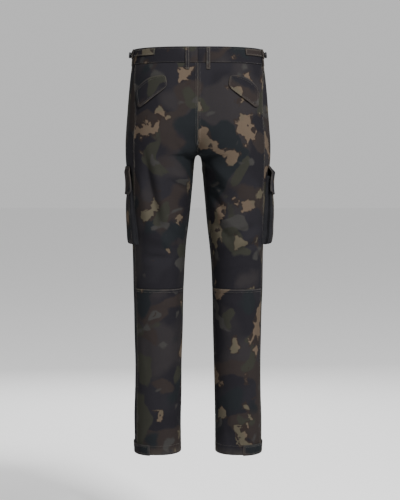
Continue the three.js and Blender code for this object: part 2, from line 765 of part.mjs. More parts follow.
function button(name, leg, z, turn, seat) {
  const out = outward(z, turn);
  out.x *= SIDES[leg];
  const centre = onCloth(leg, z, turn, 0).addScaledVector(out, seat + LAY_GAP + BUTTON.stem);
  const mesh = addPiece(name, buttonShape(), horn);
  mesh.quaternion.setFromUnitVectors(new THREE.Vector3(0, 1, 0), out);
  mesh.position.copy(centre);
}

function hemTab(leg) {
  const { rearAcross, ahead, height, below, wall } = HEM_TAB;
  const rear = turnAcross(HEM, rearAcross[leg], "back");
  const front = turnRound(HEM, -ahead);
  const [across] = DIVISIONS.hemTab;
  const turns = evenTurns(HEM, rear, front, across);
  const place = (s, t) => {
    const z = mix(HEM + height, HEM - below, t);
    return [z, turns[Math.round(s * across)], HEM_PROUD + LAY_GAP];
  };
  laidOn(leg, "hem_tab", DIVISIONS.hemTab, place, wall);
}

// A strip behind the front opening, which the waist button holds
function flyUnderlap() {
  const { right, left, top, bottom, wall, below } = UNDERLAP;
  const inside = BAND_WALL - BAND_PROUD + below;
  const [columns, rows] = DIVISIONS.underlap;
  const layer = (extra) =>
    Array.from({ length: rows + 1 }, (_, j) => {
      const z = mix(top, bottom, j / rows);
      return Array.from({ length: columns + 1 }, (_, i) => {
        const x = mix(-right, left, i / columns);
        const turn = turnAcross(z, Math.max(Math.abs(x), SEAM_GAP), "front");
        const base = placed(z, turn);
        base.x = x;
        base.y += inside + extra;
        return base;
      });
    });
  addPiece("fly_underlap", solidBetween(layer(0), layer(wall)));
}

for (const leg of Object.keys(SIDES)) {
  legPanels(leg);
  waistband(leg);
  backFlap(leg);
  cargoBag(leg);
  cargoFlap(leg);
  LOOP_PLACES.forEach((place) => beltLoop(leg, place));
  waistTab(leg);
  button(`tab_button_${leg}`, leg, TAB.middle, 2, BAND_PROUD + LAY_GAP + TAB.wall);
  hemTab(leg);
}
flyUnderlap();
button("waist_button", "left", 0, turnAcross(0, WAIST_BUTTON_ACROSS, "front"), BAND_PROUD);

export default trousers;
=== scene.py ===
"""Looks of the cargo trousers: printed twill panels with their seams, folds and stitching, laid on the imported
frame. Places are worked out in millimetres with the same tables as the part's source, then turned to metres.
"""

import math
from bisect import bisect_right
from functools import lru_cache

import bmesh
import bpy
from mathutils import Matrix, Vector, noise


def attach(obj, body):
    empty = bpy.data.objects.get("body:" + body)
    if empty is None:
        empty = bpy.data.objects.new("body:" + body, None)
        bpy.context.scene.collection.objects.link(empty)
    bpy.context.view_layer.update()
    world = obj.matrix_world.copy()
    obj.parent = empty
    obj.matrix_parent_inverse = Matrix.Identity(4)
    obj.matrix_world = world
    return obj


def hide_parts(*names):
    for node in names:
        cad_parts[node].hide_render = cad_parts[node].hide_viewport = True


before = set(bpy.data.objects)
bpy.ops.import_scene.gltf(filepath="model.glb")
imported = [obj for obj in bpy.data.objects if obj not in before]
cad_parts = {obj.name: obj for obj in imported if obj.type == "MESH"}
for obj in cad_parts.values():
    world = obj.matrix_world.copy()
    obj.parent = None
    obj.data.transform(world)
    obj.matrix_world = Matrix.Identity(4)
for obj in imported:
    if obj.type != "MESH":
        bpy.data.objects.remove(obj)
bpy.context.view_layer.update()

MM = 0.001

# Cloth, as in the part's source
BAND_WALL = 2.6
BAND_PROUD = 1.0
HEM_PROUD = 0.7
LAY_GAP = 0.45
WAIST_TOP = 18
WAIST_SEAM = -23
CROTCH = -252
KNEE_SEAM = -591
HEM = -1013
HEM_DEPTH = 26
SEAT_CURVE_TOP = -158
FRONT_CURVE_TOP = -172
RISE_POWER = 2.3
CLEFT_HEIGHT = 70
SQUARENESS = 2.25
FRONT_DIP = 9
FRONT_DIP_FADES_AT = -130
HEM_DROP = 0.03
HEM_DROP_STARTS_AT = -880
SEAM_SHIFT = {"left": 5, "right": -5}
SIDES = {"left": 1, "right": -1}

# What shows of the cloth here is a single layer of twill
TWILL = 0.9

# The least width or length in metres that a piece's cut is counted as
LEAST_CUT = 0.0101

SECTION_NAMES = ["outer", "inner", "lobe", "back", "front", "middle", "seam"]
SECTIONS = [
    (18, 165, 0, 18, 108, -97, 3, 43),
    (-23, 168.5, 0, 26, 115, -101, 4, 47),
    (-60, 172.8, 0, 36, 124, -106, 5, 57),
    (-100, 176.6, 0, 50, 133, -111, 6, 75),
    (-145, 179.8, 0, 64, 141, -114, 7, 90),
    (-190, 183, 0, 78, 144, -115, 7, 97.5),
    (-225, 185, 0, 87, 141, -114, 7, 98),
    (-252, 185.2, 0, 92.6, 136, -113, 6, 96),
    (-254, 185.1, 4, 92.9, 135.6, -113, 6, 95.8),
    (-258, 185, 7, 93.5, 134.8, -112.8, 6, 95.4),
    (-276, 183.8, 10, 95.4, 131, -112, 5, 92),
    (-320, 178.2, 13.8, 97.2, 122, -110, 4, 79),
    (-370, 174.4, 19, 98, 112, -107, 2, 65),
    (-420, 171, 24, 98, 103, -103, 0, 52),
    (-481, 167.5, 30.2, 98.9, 93, -97, -2, 42),
    (-540, 166.2, 35, 100.6, 85, -91, -3, 37),
    (-597, 165.6, 37.8, 101.7, 80, -85, -3, 35),
    (-640, 164, 38.9, 101.5, 79, -80, -1, 35),
    (-700, 162.8, 39.8, 101.3, 78.5, -75, 1, 36),
    (-783, 161.6, 41.5, 101.6, 78, -70, 3, 37),
    (-865, 162.3, 43.3, 102.8, 76, -66, 4, 37),
    (-927, 163.6, 44.7, 104.2, 74, -64, 4, 36),
    (-983, 163.2, 44.5, 103.9, 72.5, -62.5, 4, 35),
    (-1016, 161.5, 44.5, 103, 71.5, -62, 4, 35),
]

# The largest folds, from one place to another on the back or the front, as in the part's source
FOLDS = [
    ("left", "back", 131, -285, 98, -450, -5.5, 15),
    ("left", "back", 150, -320, 124, -440, 3, 13),
    ("left", "back", 14, -322, 62, -296, 3.5, 14),
    ("left", "back", 128, -512, 64, -516, -3.5, 13),
    ("left", "back", 112, -458, 72, -480, 3, 14),
    ("right", "back", 12, -300, 70, -372, -5.5, 17),
    ("right", "back", 40, -276, 96, -330, 3, 15),
    ("right", "back", 74, -494, 166, -446, 4.5, 13),
    ("right", "back", 70, -470, 150, -428, -4, 14),
    ("right", "back", 120, -505, 165, -488, 2.5, 12),
    ("left", "front", 14, -300, 92, -258, 4, 15),
    ("left", "front", 18, -330, 104, -300, -4, 15),
    ("left", "front", 60, -560, 150, -545, 4, 15),
    ("left", "front", 70, -600, 160, -625, -3.5, 15),
    ("right", "front", 14, -296, 96, -246, 4, 15),
    ("right", "front", 18, -326, 100, -282, -4, 15),
    ("right", "front", 64, -548, 152, -566, 4, 15),
    ("right", "front", 60, -610, 150, -590, -3.5, 15),
]

# Creases that only the cloth shows, narrower than the folds and mostly running along them
CREASES = [
    ("left", "back", 38, -136, 3, -106, -1.6, 5),
    ("left", "back", 20, -262, 58, -226, -2, 7),
    ("left", "back", 135, -240, 115, -359, -5.5, 9),
    ("left", "back", 117, -329, 92, -444, -5, 10),
    ("left", "back", 150, -289, 130, -377, 3, 8),
    ("left", "back", 108, -267, 80, -412, 3.5, 11),
    ("left", "back", 54, -299, 19, -322, 3, 6),
    ("left", "back", 64, -317, 24, -344, -3.5, 7),
    ("left", "back", 81, -427, 34, -478, -2.6, 9),
    ("left", "back", 99, -445, 54, -503, 2, 8),
    ("left", "back", 137, -508, 74, -511, -2.8, 5),
    ("left", "back", 150, -528, 96, -530, 1.6, 6),
    ("left", "back", 60, -622, 118, -634, 1.6, 8),
    ("left", "back", 136, -700, 120, -820, -1.8, 10),
    ("left", "back", 70, -860, 90, -980, 1.6, 9),
    ("left", "back", 136, -940, 150, -985, 1.5, 6),
    ("right", "back", 20, -262, 60, -228, -2, 7),
    ("right", "back", 15, -277, 59, -342, -5.5, 8),
    ("right", "back", 29, -267, 76, -319, 3, 8),
    ("right", "back", 19, -309, 71, -372, 3, 6),
    ("right", "back", 23, -334, 69, -402, -5, 7.5),
    ("right", "back", 39, -379, 97, -440, 2.8, 9),
    ("right", "back", 35, -412, 84, -469, -4.5, 9),
    ("right", "back", 72, -465, 137, -434, -3.5, 6),
    ("right", "back", 68, -486, 155, -445, 3.5, 5),
    ("right", "back", 77, -503, 162, -465, -2.5, 6),
    ("right", "back", 60, -540, 120, -520, 1.8, 7),
    ("right", "back", 60, -620, 112, -632, 1.5, 8),
    ("right", "back", 140, -690, 122, -800, 1.6, 9),
    ("right", "back", 66, -880, 84, -990, -1.8, 8),
    ("right", "back", 128, -930, 146, -990, 1.6, 7),
    ("left", "front", 10, -240, 74, -212, -2.4, 8),
    ("left", "front", 14, -284, 84, -262, 3, 8),
    ("left", "front", 18, -316, 92, -332, -3.6, 9),
    ("left", "front", 44, -474, 122, -522, 2.4, 8),
    ("left", "front", 50, -500, 132, -550, -3, 8),
    ("left", "front", 36, -578, 130, -584, 2, 7),
    ("left", "front", 60, -690, 140, -705, -1.8, 9),
    ("left", "front", 72, -860, 94, -980, 1.6, 9),
    ("right", "front", 8, -238, 76, -206, -2.2, 8),
    ("right", "front", 12, -290, 90, -256, 2.8, 8),
    ("right", "front", 16, -322, 96, -340, -3.8, 9),
    ("right", "front", 40, -486, 118, -516, 2.2, 7),
    ("right", "front", 48, -508, 126, -540, -2.8, 8),
    ("right", "front", 34, -590, 128, -574, 2, 7),
    ("right", "front", 60, -700, 142, -684, -1.6, 9),
    ("right", "front", 126, -850, 104, -970, 1.6, 9),
]

# How near the widest line folds and creases fade out, and creases to the centre seam
FOLD_FADE = 30
CREASE_FADE = 14
SEAM_FADE = 12

# How far the cloth wanders from a smooth surface, and over what distance
WANDER = 1.4
WANDER_ACROSS = 46
WANDER_DOWN = 120

BACK_FLAP = {
    "top_inner": (80, -51),
    "top_outer": (156, -91),
    "bottom_inner": (74, -83),
    "bottom_outer": (148, -140),
    "top_arch": 13,
    "arch_skew": 1.3,
    "size": (46, 86),
    "corner": 14,
    "wall": 1.8,
    "lift": 3,
}
POCKET = {
    "width": 160,
    "mouth": -304,
    "bottom": -479,
    "rear": {"left": 74, "right": 48},
    "depth": {"left": 12, "right": 22},
    "mouth_share": {"left": 0.28, "right": 0.55},
    "corner_run": 16,
    "face_share": 1.06,
}
POCKET_FLAP = {
    "top": -280,
    "bottom": -351,
    "overhang": 5,
    "wall": 1.8,
    "slack": 1.6,
    "rise": 9,
    "corner": 6,
    "round_by": 9,
}

# Round a pocket's foot: how far above its lowest edge, and the share of its depth there
POCKET_FOOT = [
    (12, 0.99), (8, 0.965), (5, 0.92), (3, 0.84), (2, 0.72), (1.6, 0.55), (1.2, 0.36), (0.7, 0.16), (0, 0),
]

# Across a pleated gusset: how far in from the pocket's edge lying flat and standing open, and share of its depth
GUSSET = [(0, 0, 0), (2.5, 5.5, 0.4), (5, 2, 0.78), (8, 8, 1)]
GUSSET_OPEN_AT = 16
LOOP_WIDTH = 10
LOOP_ROWS = [(17, 0), (13, 0), (7, 1.1), (-4, 1.6), (-14, 1.6), (-22, 1.4), (-28, 0.6), (-40, 0)]
LOOP_PLACES = {"back": (26, "back"), "side": (38, "round"), "front": (82, "front")}
TAB = {"start": {"left": 106, "right": 118}, "height": 17, "middle": 6, "wall": 2, "past_button": 15}
FLY = {"width": 40, "bottom": -178, "corner": 34, "wall": 1.2}
HEM_TAB = {"rear": {"left": 121, "right": 114}, "ahead": 46, "height": 26, "below": 1.5, "wall": 1.8}
BUTTON_RADIUS = 8
BUTTON_THICKNESS = 5.2
BUTTON_STEM = 0.7
BUTTON_STEM_RADIUS = 6

# From the stem round a button's edge to its sunk middle: how far in from its rim, and share of its thickness
BUTTON_PROFILE = [
    (1.6, 0), (0.9, 0.05), (0.25, 0.2), (0, 0.45), (0.2, 0.75), (0.75, 0.93), (1.5, 1), (2.3, 0.97),
    (3, 0.85), (4.4, 0.8),
]

WAIST_BUTTON_ACROSS = 17

# The ribs of the twill, in metres
RIB_PITCH = 0.0011
RIB_SLANT = 0.8

# How far below the hems the floor is, in metres
FLOOR_BELOW = 0.35

STITCH_PITCH = 3.2
STITCH_LENGTH = 2.3
STITCH_WIDTH = 0.55

# How high stitches lie on the cloth, and on the doubled cloth of a belt loop above its underside
STITCH_HEIGHT = 0.12
LOOP_STITCH_HEIGHT = 1.65


def mix(a, b, t):
    return a + (b - a) * t


def clamp(t, low=0.0, high=1.0):
    return min(high, max(low, t))


def smooth(t):
    t = clamp(t)
    return t * t * (3 - 2 * t)


def column_curve(rows, column):
    """A smooth curve through one column of a table against its first, which never overshoots a row."""
    ordered = sorted(rows)
    at = [row[0] for row in ordered]
    value = [row[column] for row in ordered]
    slope = [(value[i + 1] - value[i]) / (at[i + 1] - at[i]) for i in range(len(at) - 1)]
    tangent = []
    for i in range(len(at)):
        before = slope[max(0, i - 1)]
        after = slope[min(len(slope) - 1, i)]
        tangent.append(0 if before * after <= 0 else 2 * before * after / (before + after))

    def curve(z):
        i = int(clamp(bisect_right(at, z) - 1, 0, len(at) - 2))
        span = at[i + 1] - at[i]
        t = clamp((z - at[i]) / span)
        return (
            value[i] * (1 + 2 * t) * (1 - t) ** 2
            + tangent[i] * span * t * (1 - t) ** 2
            + value[i + 1] * t * t * (3 - 2 * t)
            - tangent[i + 1] * span * t * t * (1 - t)
        )

    return curve


CURVES = {name: column_curve(SECTIONS, k + 1) for k, name in enumerate(SECTION_NAMES)}


@lru_cache(maxsize=None)
def body_at(z):
    return {name: curve(z) for name, curve in CURVES.items()}


def centre_seam(z, full, curve_top):
    middle = body_at(z)["middle"]
    share = clamp((curve_top - z) / (curve_top - CROTCH))
    return middle + (full - middle) * (1 - share**RISE_POWER) ** (1 / RISE_POWER)


@lru_cache(maxsize=None)
def outline(z, turn):
    """Half of a section. turn is 0 at the centre back, 1 furthest back, 2 widest, 3 furthest forward and 4 at
    the centre front."""
    body = body_at(z)
    outer, inner, lobe, middle = body["outer"], body["inner"], body["lobe"], body["middle"]
    quarter = int(clamp(math.floor(turn), 0, 3))
    angle = (turn - quarter) * math.pi / 2
    rise = max(0.0, math.sin(angle)) ** (2 / SQUARENESS)
    fall = max(0.0, math.cos(angle)) ** (2 / SQUARENESS)
    if quarter in (1, 2):
        deep = body["back"] if quarter == 1 else body["front"]
        out, along = (rise, fall) if quarter == 1 else (fall, rise)
        return lobe + (outer - lobe) * out, middle + (deep - middle) * along
    at_back = quarter == 0
    deep = body["back"] if at_back else body["front"]
    seam = middle if z < CROTCH else centre_seam(z, deep, SEAT_CURVE_TOP if at_back else FRONT_CURVE_TOP)
    t = turn if at_back else 4 - turn
    in_share, deep_share = (fall, rise) if at_back else (rise, fall)
    round_x = lobe - (lobe - inner) * in_share
    round_y = seam + (deep - seam) * deep_share
    cleft = 1 if z < CROTCH else 1 - smooth((z - CROTCH) / CLEFT_HEIGHT)
    return mix(lobe * t, round_x, cleft), mix(seam + (deep - seam) * smooth(t), round_y, cleft)


@lru_cache(maxsize=None)
def placed(z, turn):
    x, y = outline(z, turn)
    back, front = body_at(WAIST_TOP)["back"], body_at(WAIST_TOP)["front"]
    forward = clamp((back - y) / (back - front))
    dip = FRONT_DIP * forward * smooth((z - FRONT_DIP_FADES_AT) / (WAIST_TOP - FRONT_DIP_FADES_AT))
    drop = HEM_DROP * y * smooth((HEM_DROP_STARTS_AT - z) / (HEM_DROP_STARTS_AT - HEM))
    return x, y, z - dip - drop


@lru_cache(maxsize=None)
def outward(z, turn):
    along = Vector(placed(z, min(4, turn + 0.03))) - Vector(placed(z, max(0, turn - 0.03)))
    up = Vector(placed(min(WAIST_TOP, z + 2), turn)) - Vector(placed(max(HEM, z - 2), turn))
    return up.cross(along).normalized()


def ridge(rows, leg, across, y, z, fade):
    """Height of a table's folds at a place, faded out towards the side of the leg."""
    middle = body_at(z)["middle"]
    face = "front" if y < middle else "back"
    height = 0
    for of, on, x1, z1, x2, z2, high, reach in rows:
        if of != leg or on != face:
            continue
        run_x, run_z = x2 - x1, z2 - z1
        t = clamp(((across - x1) * run_x + (z - z1) * run_z) / (run_x**2 + run_z**2))
        away = math.hypot(across - x1 - run_x * t, z - z1 - run_z * t)
        if away < 4 * reach:
            height += high * math.exp(-((away / reach) ** 2)) * (0.35 + 0.65 * math.sin(math.pi * t))
    return height * smooth(abs(y - middle) / fade)


@lru_cache(maxsize=None)
def relief(leg, z, turn):
    """How far the cloth stands off the smooth surface: its folds, creases and slight wandering."""
    x, y, _ = placed(z, turn)
    place = Vector((SIDES[leg] * x / WANDER_ACROSS, y / WANDER_ACROSS, z / WANDER_DOWN))
    off_seam = smooth(x / SEAM_FADE)
    free = smooth((WAIST_SEAM - 20 - z) / 60) * off_seam
    creases = ridge(CREASES, leg, x, y, z, CREASE_FADE) * (off_seam if z > CROTCH else 1)
    return ridge(FOLDS, leg, x, y, z, FOLD_FADE) + creases + WANDER * noise.noise(place) * free


def on_cloth(leg, z, turn, lift):
    """A point lift off one leg's cloth, in metres, mirrored for the wearer's right."""
    height = relief(leg, z, turn) + lift
    point = Vector(placed(z, turn)) + outward(z, turn) * height
    point.x = max(point.x, 0) * SIDES[leg]
    return point * MM


def facing(leg, z, turn):
    out = outward(z, turn).copy()
    out.x *= SIDES[leg]
    return out


@lru_cache(maxsize=None)
def run_at(z):
    """The length of cloth from the back seam or inseam to each of many turns, at one height."""
    turns = [i / 200 for i in range(801)]
    points = [outline(z, turn) for turn in turns]
    run = [0.0]
    for a, b in zip(points, points[1:]):
        run.append(run[-1] + math.dist(a, b))
    return turns, run


def look_up(keys, value, other):
    i = int(clamp(bisect_right(keys, value) - 1, 0, len(keys) - 2))
    return mix(other[i], other[i + 1], clamp((value - keys[i]) / (keys[i + 1] - keys[i])))


def run_to(z, turn):
    turns, run = run_at(z)
    return look_up(turns, turn, run)


def turn_after(z, distance):
    turns, run = run_at(z)
    return look_up(run, distance, turns)


def turn_round(z, distance):
    """The turn at a distance round the cloth from its widest line, the back being positive."""
    return turn_after(z, run_to(z, 2) - distance)


@lru_cache(maxsize=None)
def turn_where(z, across, face):
    low, high = (0, 2) if face == "back" else (2, 4)
    for _ in range(40):
        turn = (low + high) / 2
        before = outline(z, turn)[0] < across if face == "back" else outline(z, turn)[0] > across
        low, high = (turn, high) if before else (low, turn)
    return (low + high) / 2


@lru_cache(maxsize=None)
def seam_turn(leg, z):
    low, high = 1, 2
    for _ in range(40):
        turn = (low + high) / 2
        before = outline(z, turn)[1] > body_at(z)["seam"] + SEAM_SHIFT[leg]
        low, high = (turn, high) if before else (low, turn)
    return (low + high) / 2


# Rows of a panel that follow the bend of the crotch, above it and below it
CROTCH_ROWS = [-16, -10, -6, -3.5, -2, 0, 1, 2.5, 5, 8.5, 13, 19, 26]

# How far a panel goes up inside the waistband
TUCKED = 4

# Across each kind of edge: how far in from it, and how high the cloth stands there
EDGES = {
    "felled": [(0, -0.55), (0.9, 0.45), (4.5, 0.6), (8.2, 0.45), (9.4, 0)],
    "plain": [(0, -0.55), (1.2, 0)],
    "tucked": [(0, -0.45), (TUCKED, -0.45), (TUCKED + 1.2, 0)],
    "bound": [(0, -0.9), (0.8, 0.2), (2.4, 0.75), (4.4, 0.7), (5.6, -0.1), (7.4, 0)],
    "turned": [(0, -0.75), (0.8, -0.05), (3, 0.25), (5.4, -0.15), (7.4, 0)],
    "hem": [(0, -0.4), (1, 0.65), (20, 0.8), (23.4, 0.35), (25.6, 0.55), (27, 0)],
    "strip": [(0, -0.5), (0.7, -0.05), (2.2, 0.15), (3.4, 0)],
}

# How far in from each kind of edge its rows of stitches run
TOPSTITCH = {
    "felled": (1.6, 7.6),
    "plain": (),
    "tucked": (),
    "bound": (5.6,),
    "turned": (5.4,),
    "hem": (23.4,),
    "strip": (2.2,),
}

# How far in from an edge the cloth is palest, from wear and a painted highlight, and how far either side of that
PALEST_WEAR_AND_HIGHLIGHT_AT = 1.4
WEAR_AND_HIGHLIGHT_SPREAD = 2.8


# Paleness by an edge: partly rubbed wear, partly a painted highlight on the raised edge
def edge_wear_and_highlight(edge, distance):
    return 0 if edge in ("plain", "tucked") else clamp(1 - abs(distance - PALEST_WEAR_AND_HIGHLIGHT_AT) / WEAR_AND_HIGHLIGHT_SPREAD)


def edge_height(edge, distance):
    rows = EDGES[edge]
    if distance >= rows[-1][0]:
        return 0
    return look_up([row[0] for row in rows], distance, [row[1] for row in rows])


def ladder(length, start, end, step):
    """Distances across a piece: close together at its two edges, and about step apart between them."""
    first = [row[0] for row in EDGES[start]]
    last = [length - row[0] for row in reversed(EDGES[end])]
    count = max(1, round((last[0] - first[-1]) / step))
    return first + [mix(first[-1], last[0], k / count) for k in range(1, count)] + last


def laid_out(
    name, points, flat, wall, finish, outer_side, lining=None, worn=None, other_columns=None, other=None
):
    """A sheet of cloth from rows of points and their places on the flat cloth, with a wall on its inner side.
    Each point's paleness is partly wear, partly a painted highlight on raised edges. The columns other_columns
    picks take near-black cloth, which is painted shade."""
    rows, columns = len(points), len(points[0])
    bm = bmesh.new()
    wear = bm.verts.layers.float.new("wear")
    bmesh.ops.create_grid(bm, x_segments=columns - 1, y_segments=rows - 1, size=0.5)
    place = {}
    for vert in bm.verts:
        i = round((vert.co.x + 0.5) * (columns - 1))
        j = round((vert.co.y + 0.5) * (rows - 1))
        place[vert] = (j, i)
    uv = bm.loops.layers.uv.new("cloth")
    for face in bm.faces:
        for loop in face.loops:
            j, i = place[loop.vert]
            loop[uv].uv = flat[j][i]
    for vert, (j, i) in place.items():
        vert.co = points[j][i]
        vert[wear] = worn[j][i] if worn else 0
    bm.normal_update()
    facing_out = sum(face.normal.dot(outer_side(*place[face.verts[0]])) for face in bm.faces)
    if facing_out < 0:
        bmesh.ops.reverse_faces(bm, faces=bm.faces[:])
    for face in bm.faces:
        face.smooth = True
        if other and other_columns(min(place[vert][1] for vert in face.verts)):
            face.material_index = 2
    mesh = bpy.data.meshes.new(name)
    bm.to_mesh(mesh)
    bm.free()
    piece = bpy.data.objects.new(name, mesh)
    bpy.context.scene.collection.objects.link(piece)
    for material in [finish, lining or finish] + ([other, other] if other else []):
        mesh.materials.append(material)
    solidify = piece.modifiers.new("wall", "SOLIDIFY")
    solidify.thickness = wall * MM
    solidify.offset = -1
    solidify.use_even_offset = False
    solidify.material_offset = 1
    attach(piece, "root")
    return piece


def cut(flat):
    """Width, length and area in metres of the cloth that a piece was cut from."""
    us = [u for row in flat for u, _ in row]
    vs = [v for row in flat for _, v in row]
    area = 0
    for low, high in zip(flat, flat[1:]):
        for a, b, c, d in zip(low, low[1:], high[1:], high):
            area += abs((c[0] - a[0]) * (d[1] - b[1]) - (d[0] - b[0]) * (c[1] - a[1])) / 2
    return (max(us) - min(us), max(vs) - min(vs)), area


def declare(flat):
    size, area = cut(flat)
    size = [max(side, LEAST_CUT) for side in size]
    min(area, size[0] * size[1])


def cloth_from(name, leg, places, flat, wall, finish, lining=None, **others):
    """A piece from rows of places on a leg, each with a height, a turn and a lift."""
    points = [[on_cloth(leg, *place) for place in row] for row in places]

    def outer_side(j, i):
        return facing(leg, places[j][i][0], places[j][i][1])

    return laid_out(name, points, flat, wall, finish, outer_side, lining, **others)


def shifted(flat, offset):
    return [[(u * MM + offset[0], v * MM + offset[1]) for u, v in row] for row in flat]


# Where each piece was cut from the printed cloth
CUT_FROM = {}


def cut_place(name):
    """A place on the printed cloth for a piece, so that the print breaks at its seams."""
    if name not in CUT_FROM:
        k = len(CUT_FROM)
        CUT_FROM[name] = (0.37 + 1.13 * (k % 7) + 0.07 * k, 0.91 * (k // 7) + 0.13 * (k % 5))
    return CUT_FROM[name]


PANEL_TOP = WAIST_SEAM + TUCKED

SEAT_EDGES = ("plain", "tucked", "felled", "felled")
CALF_EDGES = ("hem", "felled", "felled", "felled")
FRONT_EDGES = ("hem", "tucked", "plain", "plain")

# The panels of a leg: the solids they stand for, their span, the side of the leg and how their edges are sewn
SEWING = [
    ("seat_panel", ["seat_panel"], (KNEE_SEAM, PANEL_TOP), "back", SEAT_EDGES),
    ("calf_panel", ["calf_panel"], (HEM, KNEE_SEAM), "back", CALF_EDGES),
    ("front", ["front_thigh", "front_shin"], (HEM, PANEL_TOP), "front", FRONT_EDGES),
]


def turns_of(leg, side):
    """The first and last turn of a panel at any height."""
    if side == "back":
        return lambda z: (0, seam_turn(leg, z))
    return lambda z: (seam_turn(leg, z), 4)


def panel_heights(low, high, bottom_edge, top_edge, step):
    """Heights of a panel's rows, closer at its edges and round the crotch."""
    heights = [low + d for d in ladder(high - low, bottom_edge, top_edge, step)]
    close = [CROTCH + rise for rise in CROTCH_ROWS if low < CROTCH < high]
    clear = [z for z in heights if not close or not close[0] - 3 < z < close[-1] + 3]
    return sorted(clear + close)


def panel_row(z, start, end, distances, length):
    """Turns at distances across a panel. Near the crotch the columns by the middle plane stay apart from the
    others, so that only they follow the centre seam."""
    first, last = run_to(z, start), run_to(z, end)
    scale = (last - first) / length
    even = [turn_after(z, first + d * scale) for d in distances]
    near = smooth(1 - abs(z - CROTCH) / 120)
    if near == 0:
        return even
    split_turn = 1 if start == 0 else 3
    split = run_to(z, split_turn)
    share = 0.4 if start == 0 else 0.6
    apart = []
    for d in distances:
        t = d / length
        if t < share:
            apart.append(turn_after(z, mix(first, split, t / share)))
        else:
            apart.append(turn_after(z, mix(split, last, (t - share) / (1 - share))))
    return [mix(a, b, near) for a, b in zip(even, apart)]


def fly_height(leg, z, turn):
    """The doubled cloth of the fly on the wearer's left front."""
    x = outline(z, turn)[0]
    if leg != "left" or turn < 3 or z < FLY["bottom"] - 4:
        return 0
    low = clamp((FLY["bottom"] + FLY["corner"] - z) / FLY["corner"])
    edge = FLY["width"] * math.sqrt(max(0, 1 - low**2))
    return 0.7 * smooth((edge - x) / 2.5 + 0.5)


def panel(leg, name, nodes, span, turns, edges, step=5.0):
    """A panel of a leg, with its edges raised or sunk where it is sewn: bottom, top, start and end."""
    bottom, top, start_edge, end_edge = edges
    heights = panel_heights(*span, bottom, top, step)
    typical = max(run_to(z, turns(z)[1]) - run_to(z, turns(z)[0]) for z in heights)
    distances = ladder(typical, start_edge, end_edge, step)
    places, flat, worn = [], [], []
    for z in heights:
        start, end = turns(z)
        length = run_to(z, end) - run_to(z, start)
        row_turns = panel_row(z, start, end, distances, typical)
        rim = edge_height(bottom, z - span[0]) + edge_height(top, span[1] - z)
        rim_wear_and_highlight = max(edge_wear_and_highlight(bottom, z - span[0]), edge_wear_and_highlight(top, span[1] - z))
        row, flat_row, worn_row = [], [], []
        for d, turn in zip(distances, row_turns):
            side = edge_height(start_edge, d) + edge_height(end_edge, typical - d)
            lift = max(-0.75, rim + side) if min(rim, side) < 0 else max(rim, side)
            row.append((z, turn, lift + fly_height(leg, z, turn)))
            flat_row.append((mix(-length / 2, length / 2, d / typical), z))
            worn_row.append(max(rim_wear_and_highlight, edge_wear_and_highlight(start_edge, d), edge_wear_and_highlight(end_edge, typical - d)))
        places.append(row)
        flat.append(flat_row)
        worn.append(worn_row)
    flat = shifted(flat, cut_place(f"{name}_{leg}"))
    piece = cloth_from(f"{name}_cloth_{leg}", leg, places, flat, TWILL, camo[leg], reverse, worn=worn)
    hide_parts(*[f"{node}_{leg}" for node in nodes])
    declare(flat)
    return piece


def waistband(leg):
    heights = [WAIST_SEAM + d for d in ladder(WAIST_TOP - WAIST_SEAM, "turned", "turned", 6)]
    typical = run_to(0, 4)
    distances = ladder(typical, "plain", "plain", 6)
    places, flat = [], []
    for z in heights:
        length = run_to(z, 4)
        rim = edge_height("turned", z - WAIST_SEAM) + edge_height("turned", WAIST_TOP - z)
        row, flat_row = [], []
        for d in distances:
            side = edge_height("plain", d) + edge_height("plain", typical - d)
            row.append((z, turn_after(z, length * d / typical), BAND_PROUD + max(-0.9, rim + side)))
            flat_row.append((d, z))
        places.append(row)
        flat.append(flat_row)
    flat = shifted(flat, cut_place(f"band_{leg}"))
    piece = cloth_from(f"waistband_cloth_{leg}", leg, places, flat, BAND_WALL - 0.2, camo[leg])
    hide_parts(f"waistband_{leg}")
    declare(flat)


def rounded_off(across, down, width, length, radius):
    """Moves a place near a corner of a rectangle in, so that the corner is round."""
    u = clamp((radius - min(across, width - across)) / radius)
    v = clamp((radius - min(down, length - down)) / radius)
    in_across = radius * u * (1 - math.sqrt(1 - v * v / 2)) * (1 if across < width / 2 else -1)
    in_down = radius * v * (1 - math.sqrt(1 - u * u / 2)) * (1 if down < length / 2 else -1)
    return across + in_across, down + in_down


def laid_on(
    leg, name, node, rows, columns, place, wall, size, edge="turned", round_by=1
):
    """A piece that lies on a leg. place(s, t) gives height, turn and lift of its underside, s across and
    t down. rows and columns are distances down and across it, and size is its length and width."""
    length, width = size
    places, flat, worn = [], [], []
    for down in rows:
        row, flat_row, worn_row = [], [], []
        for across in columns:
            x, y = rounded_off(across, down, width, length, round_by)
            z, turn, lift = place(x / width, y / length)
            rim = min(down, length - down)
            side = min(across, width - across)
            height = edge_height(edge, min(rim, side))
            row.append((z, turn, lift + wall + height))
            flat_row.append((x, -y))
            worn_row.append(edge_wear_and_highlight(edge, min(rim, side)))
        places.append(row)
        flat.append(flat_row)
        worn.append(worn_row)
    flat = shifted(flat, cut_place(f"{name}_{leg}"))
    piece = cloth_from(f"{name}_cloth_{leg}", leg, places, flat, wall, camo[leg], worn=worn)
    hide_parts(node)
    declare(flat)
    return piece


def back_flap_place(s, t):
    f = BACK_FLAP
    arch = f["top_arch"] * math.sin(math.pi * s ** f["arch_skew"]) * (1 - t)
    top = [mix(f["top_inner"][k], f["top_outer"][k], s) for k in (0, 1)]
    bottom = [mix(f["bottom_inner"][k], f["bottom_outer"][k], s) for k in (0, 1)]
    z = mix(top[1] + arch, bottom[1], t)
    lift = LAY_GAP + f["lift"] * t * t * math.sin(math.pi * clamp(s)) ** 0.5
    return z, turn_where(z, mix(top[0], bottom[0], t), "back"), lift


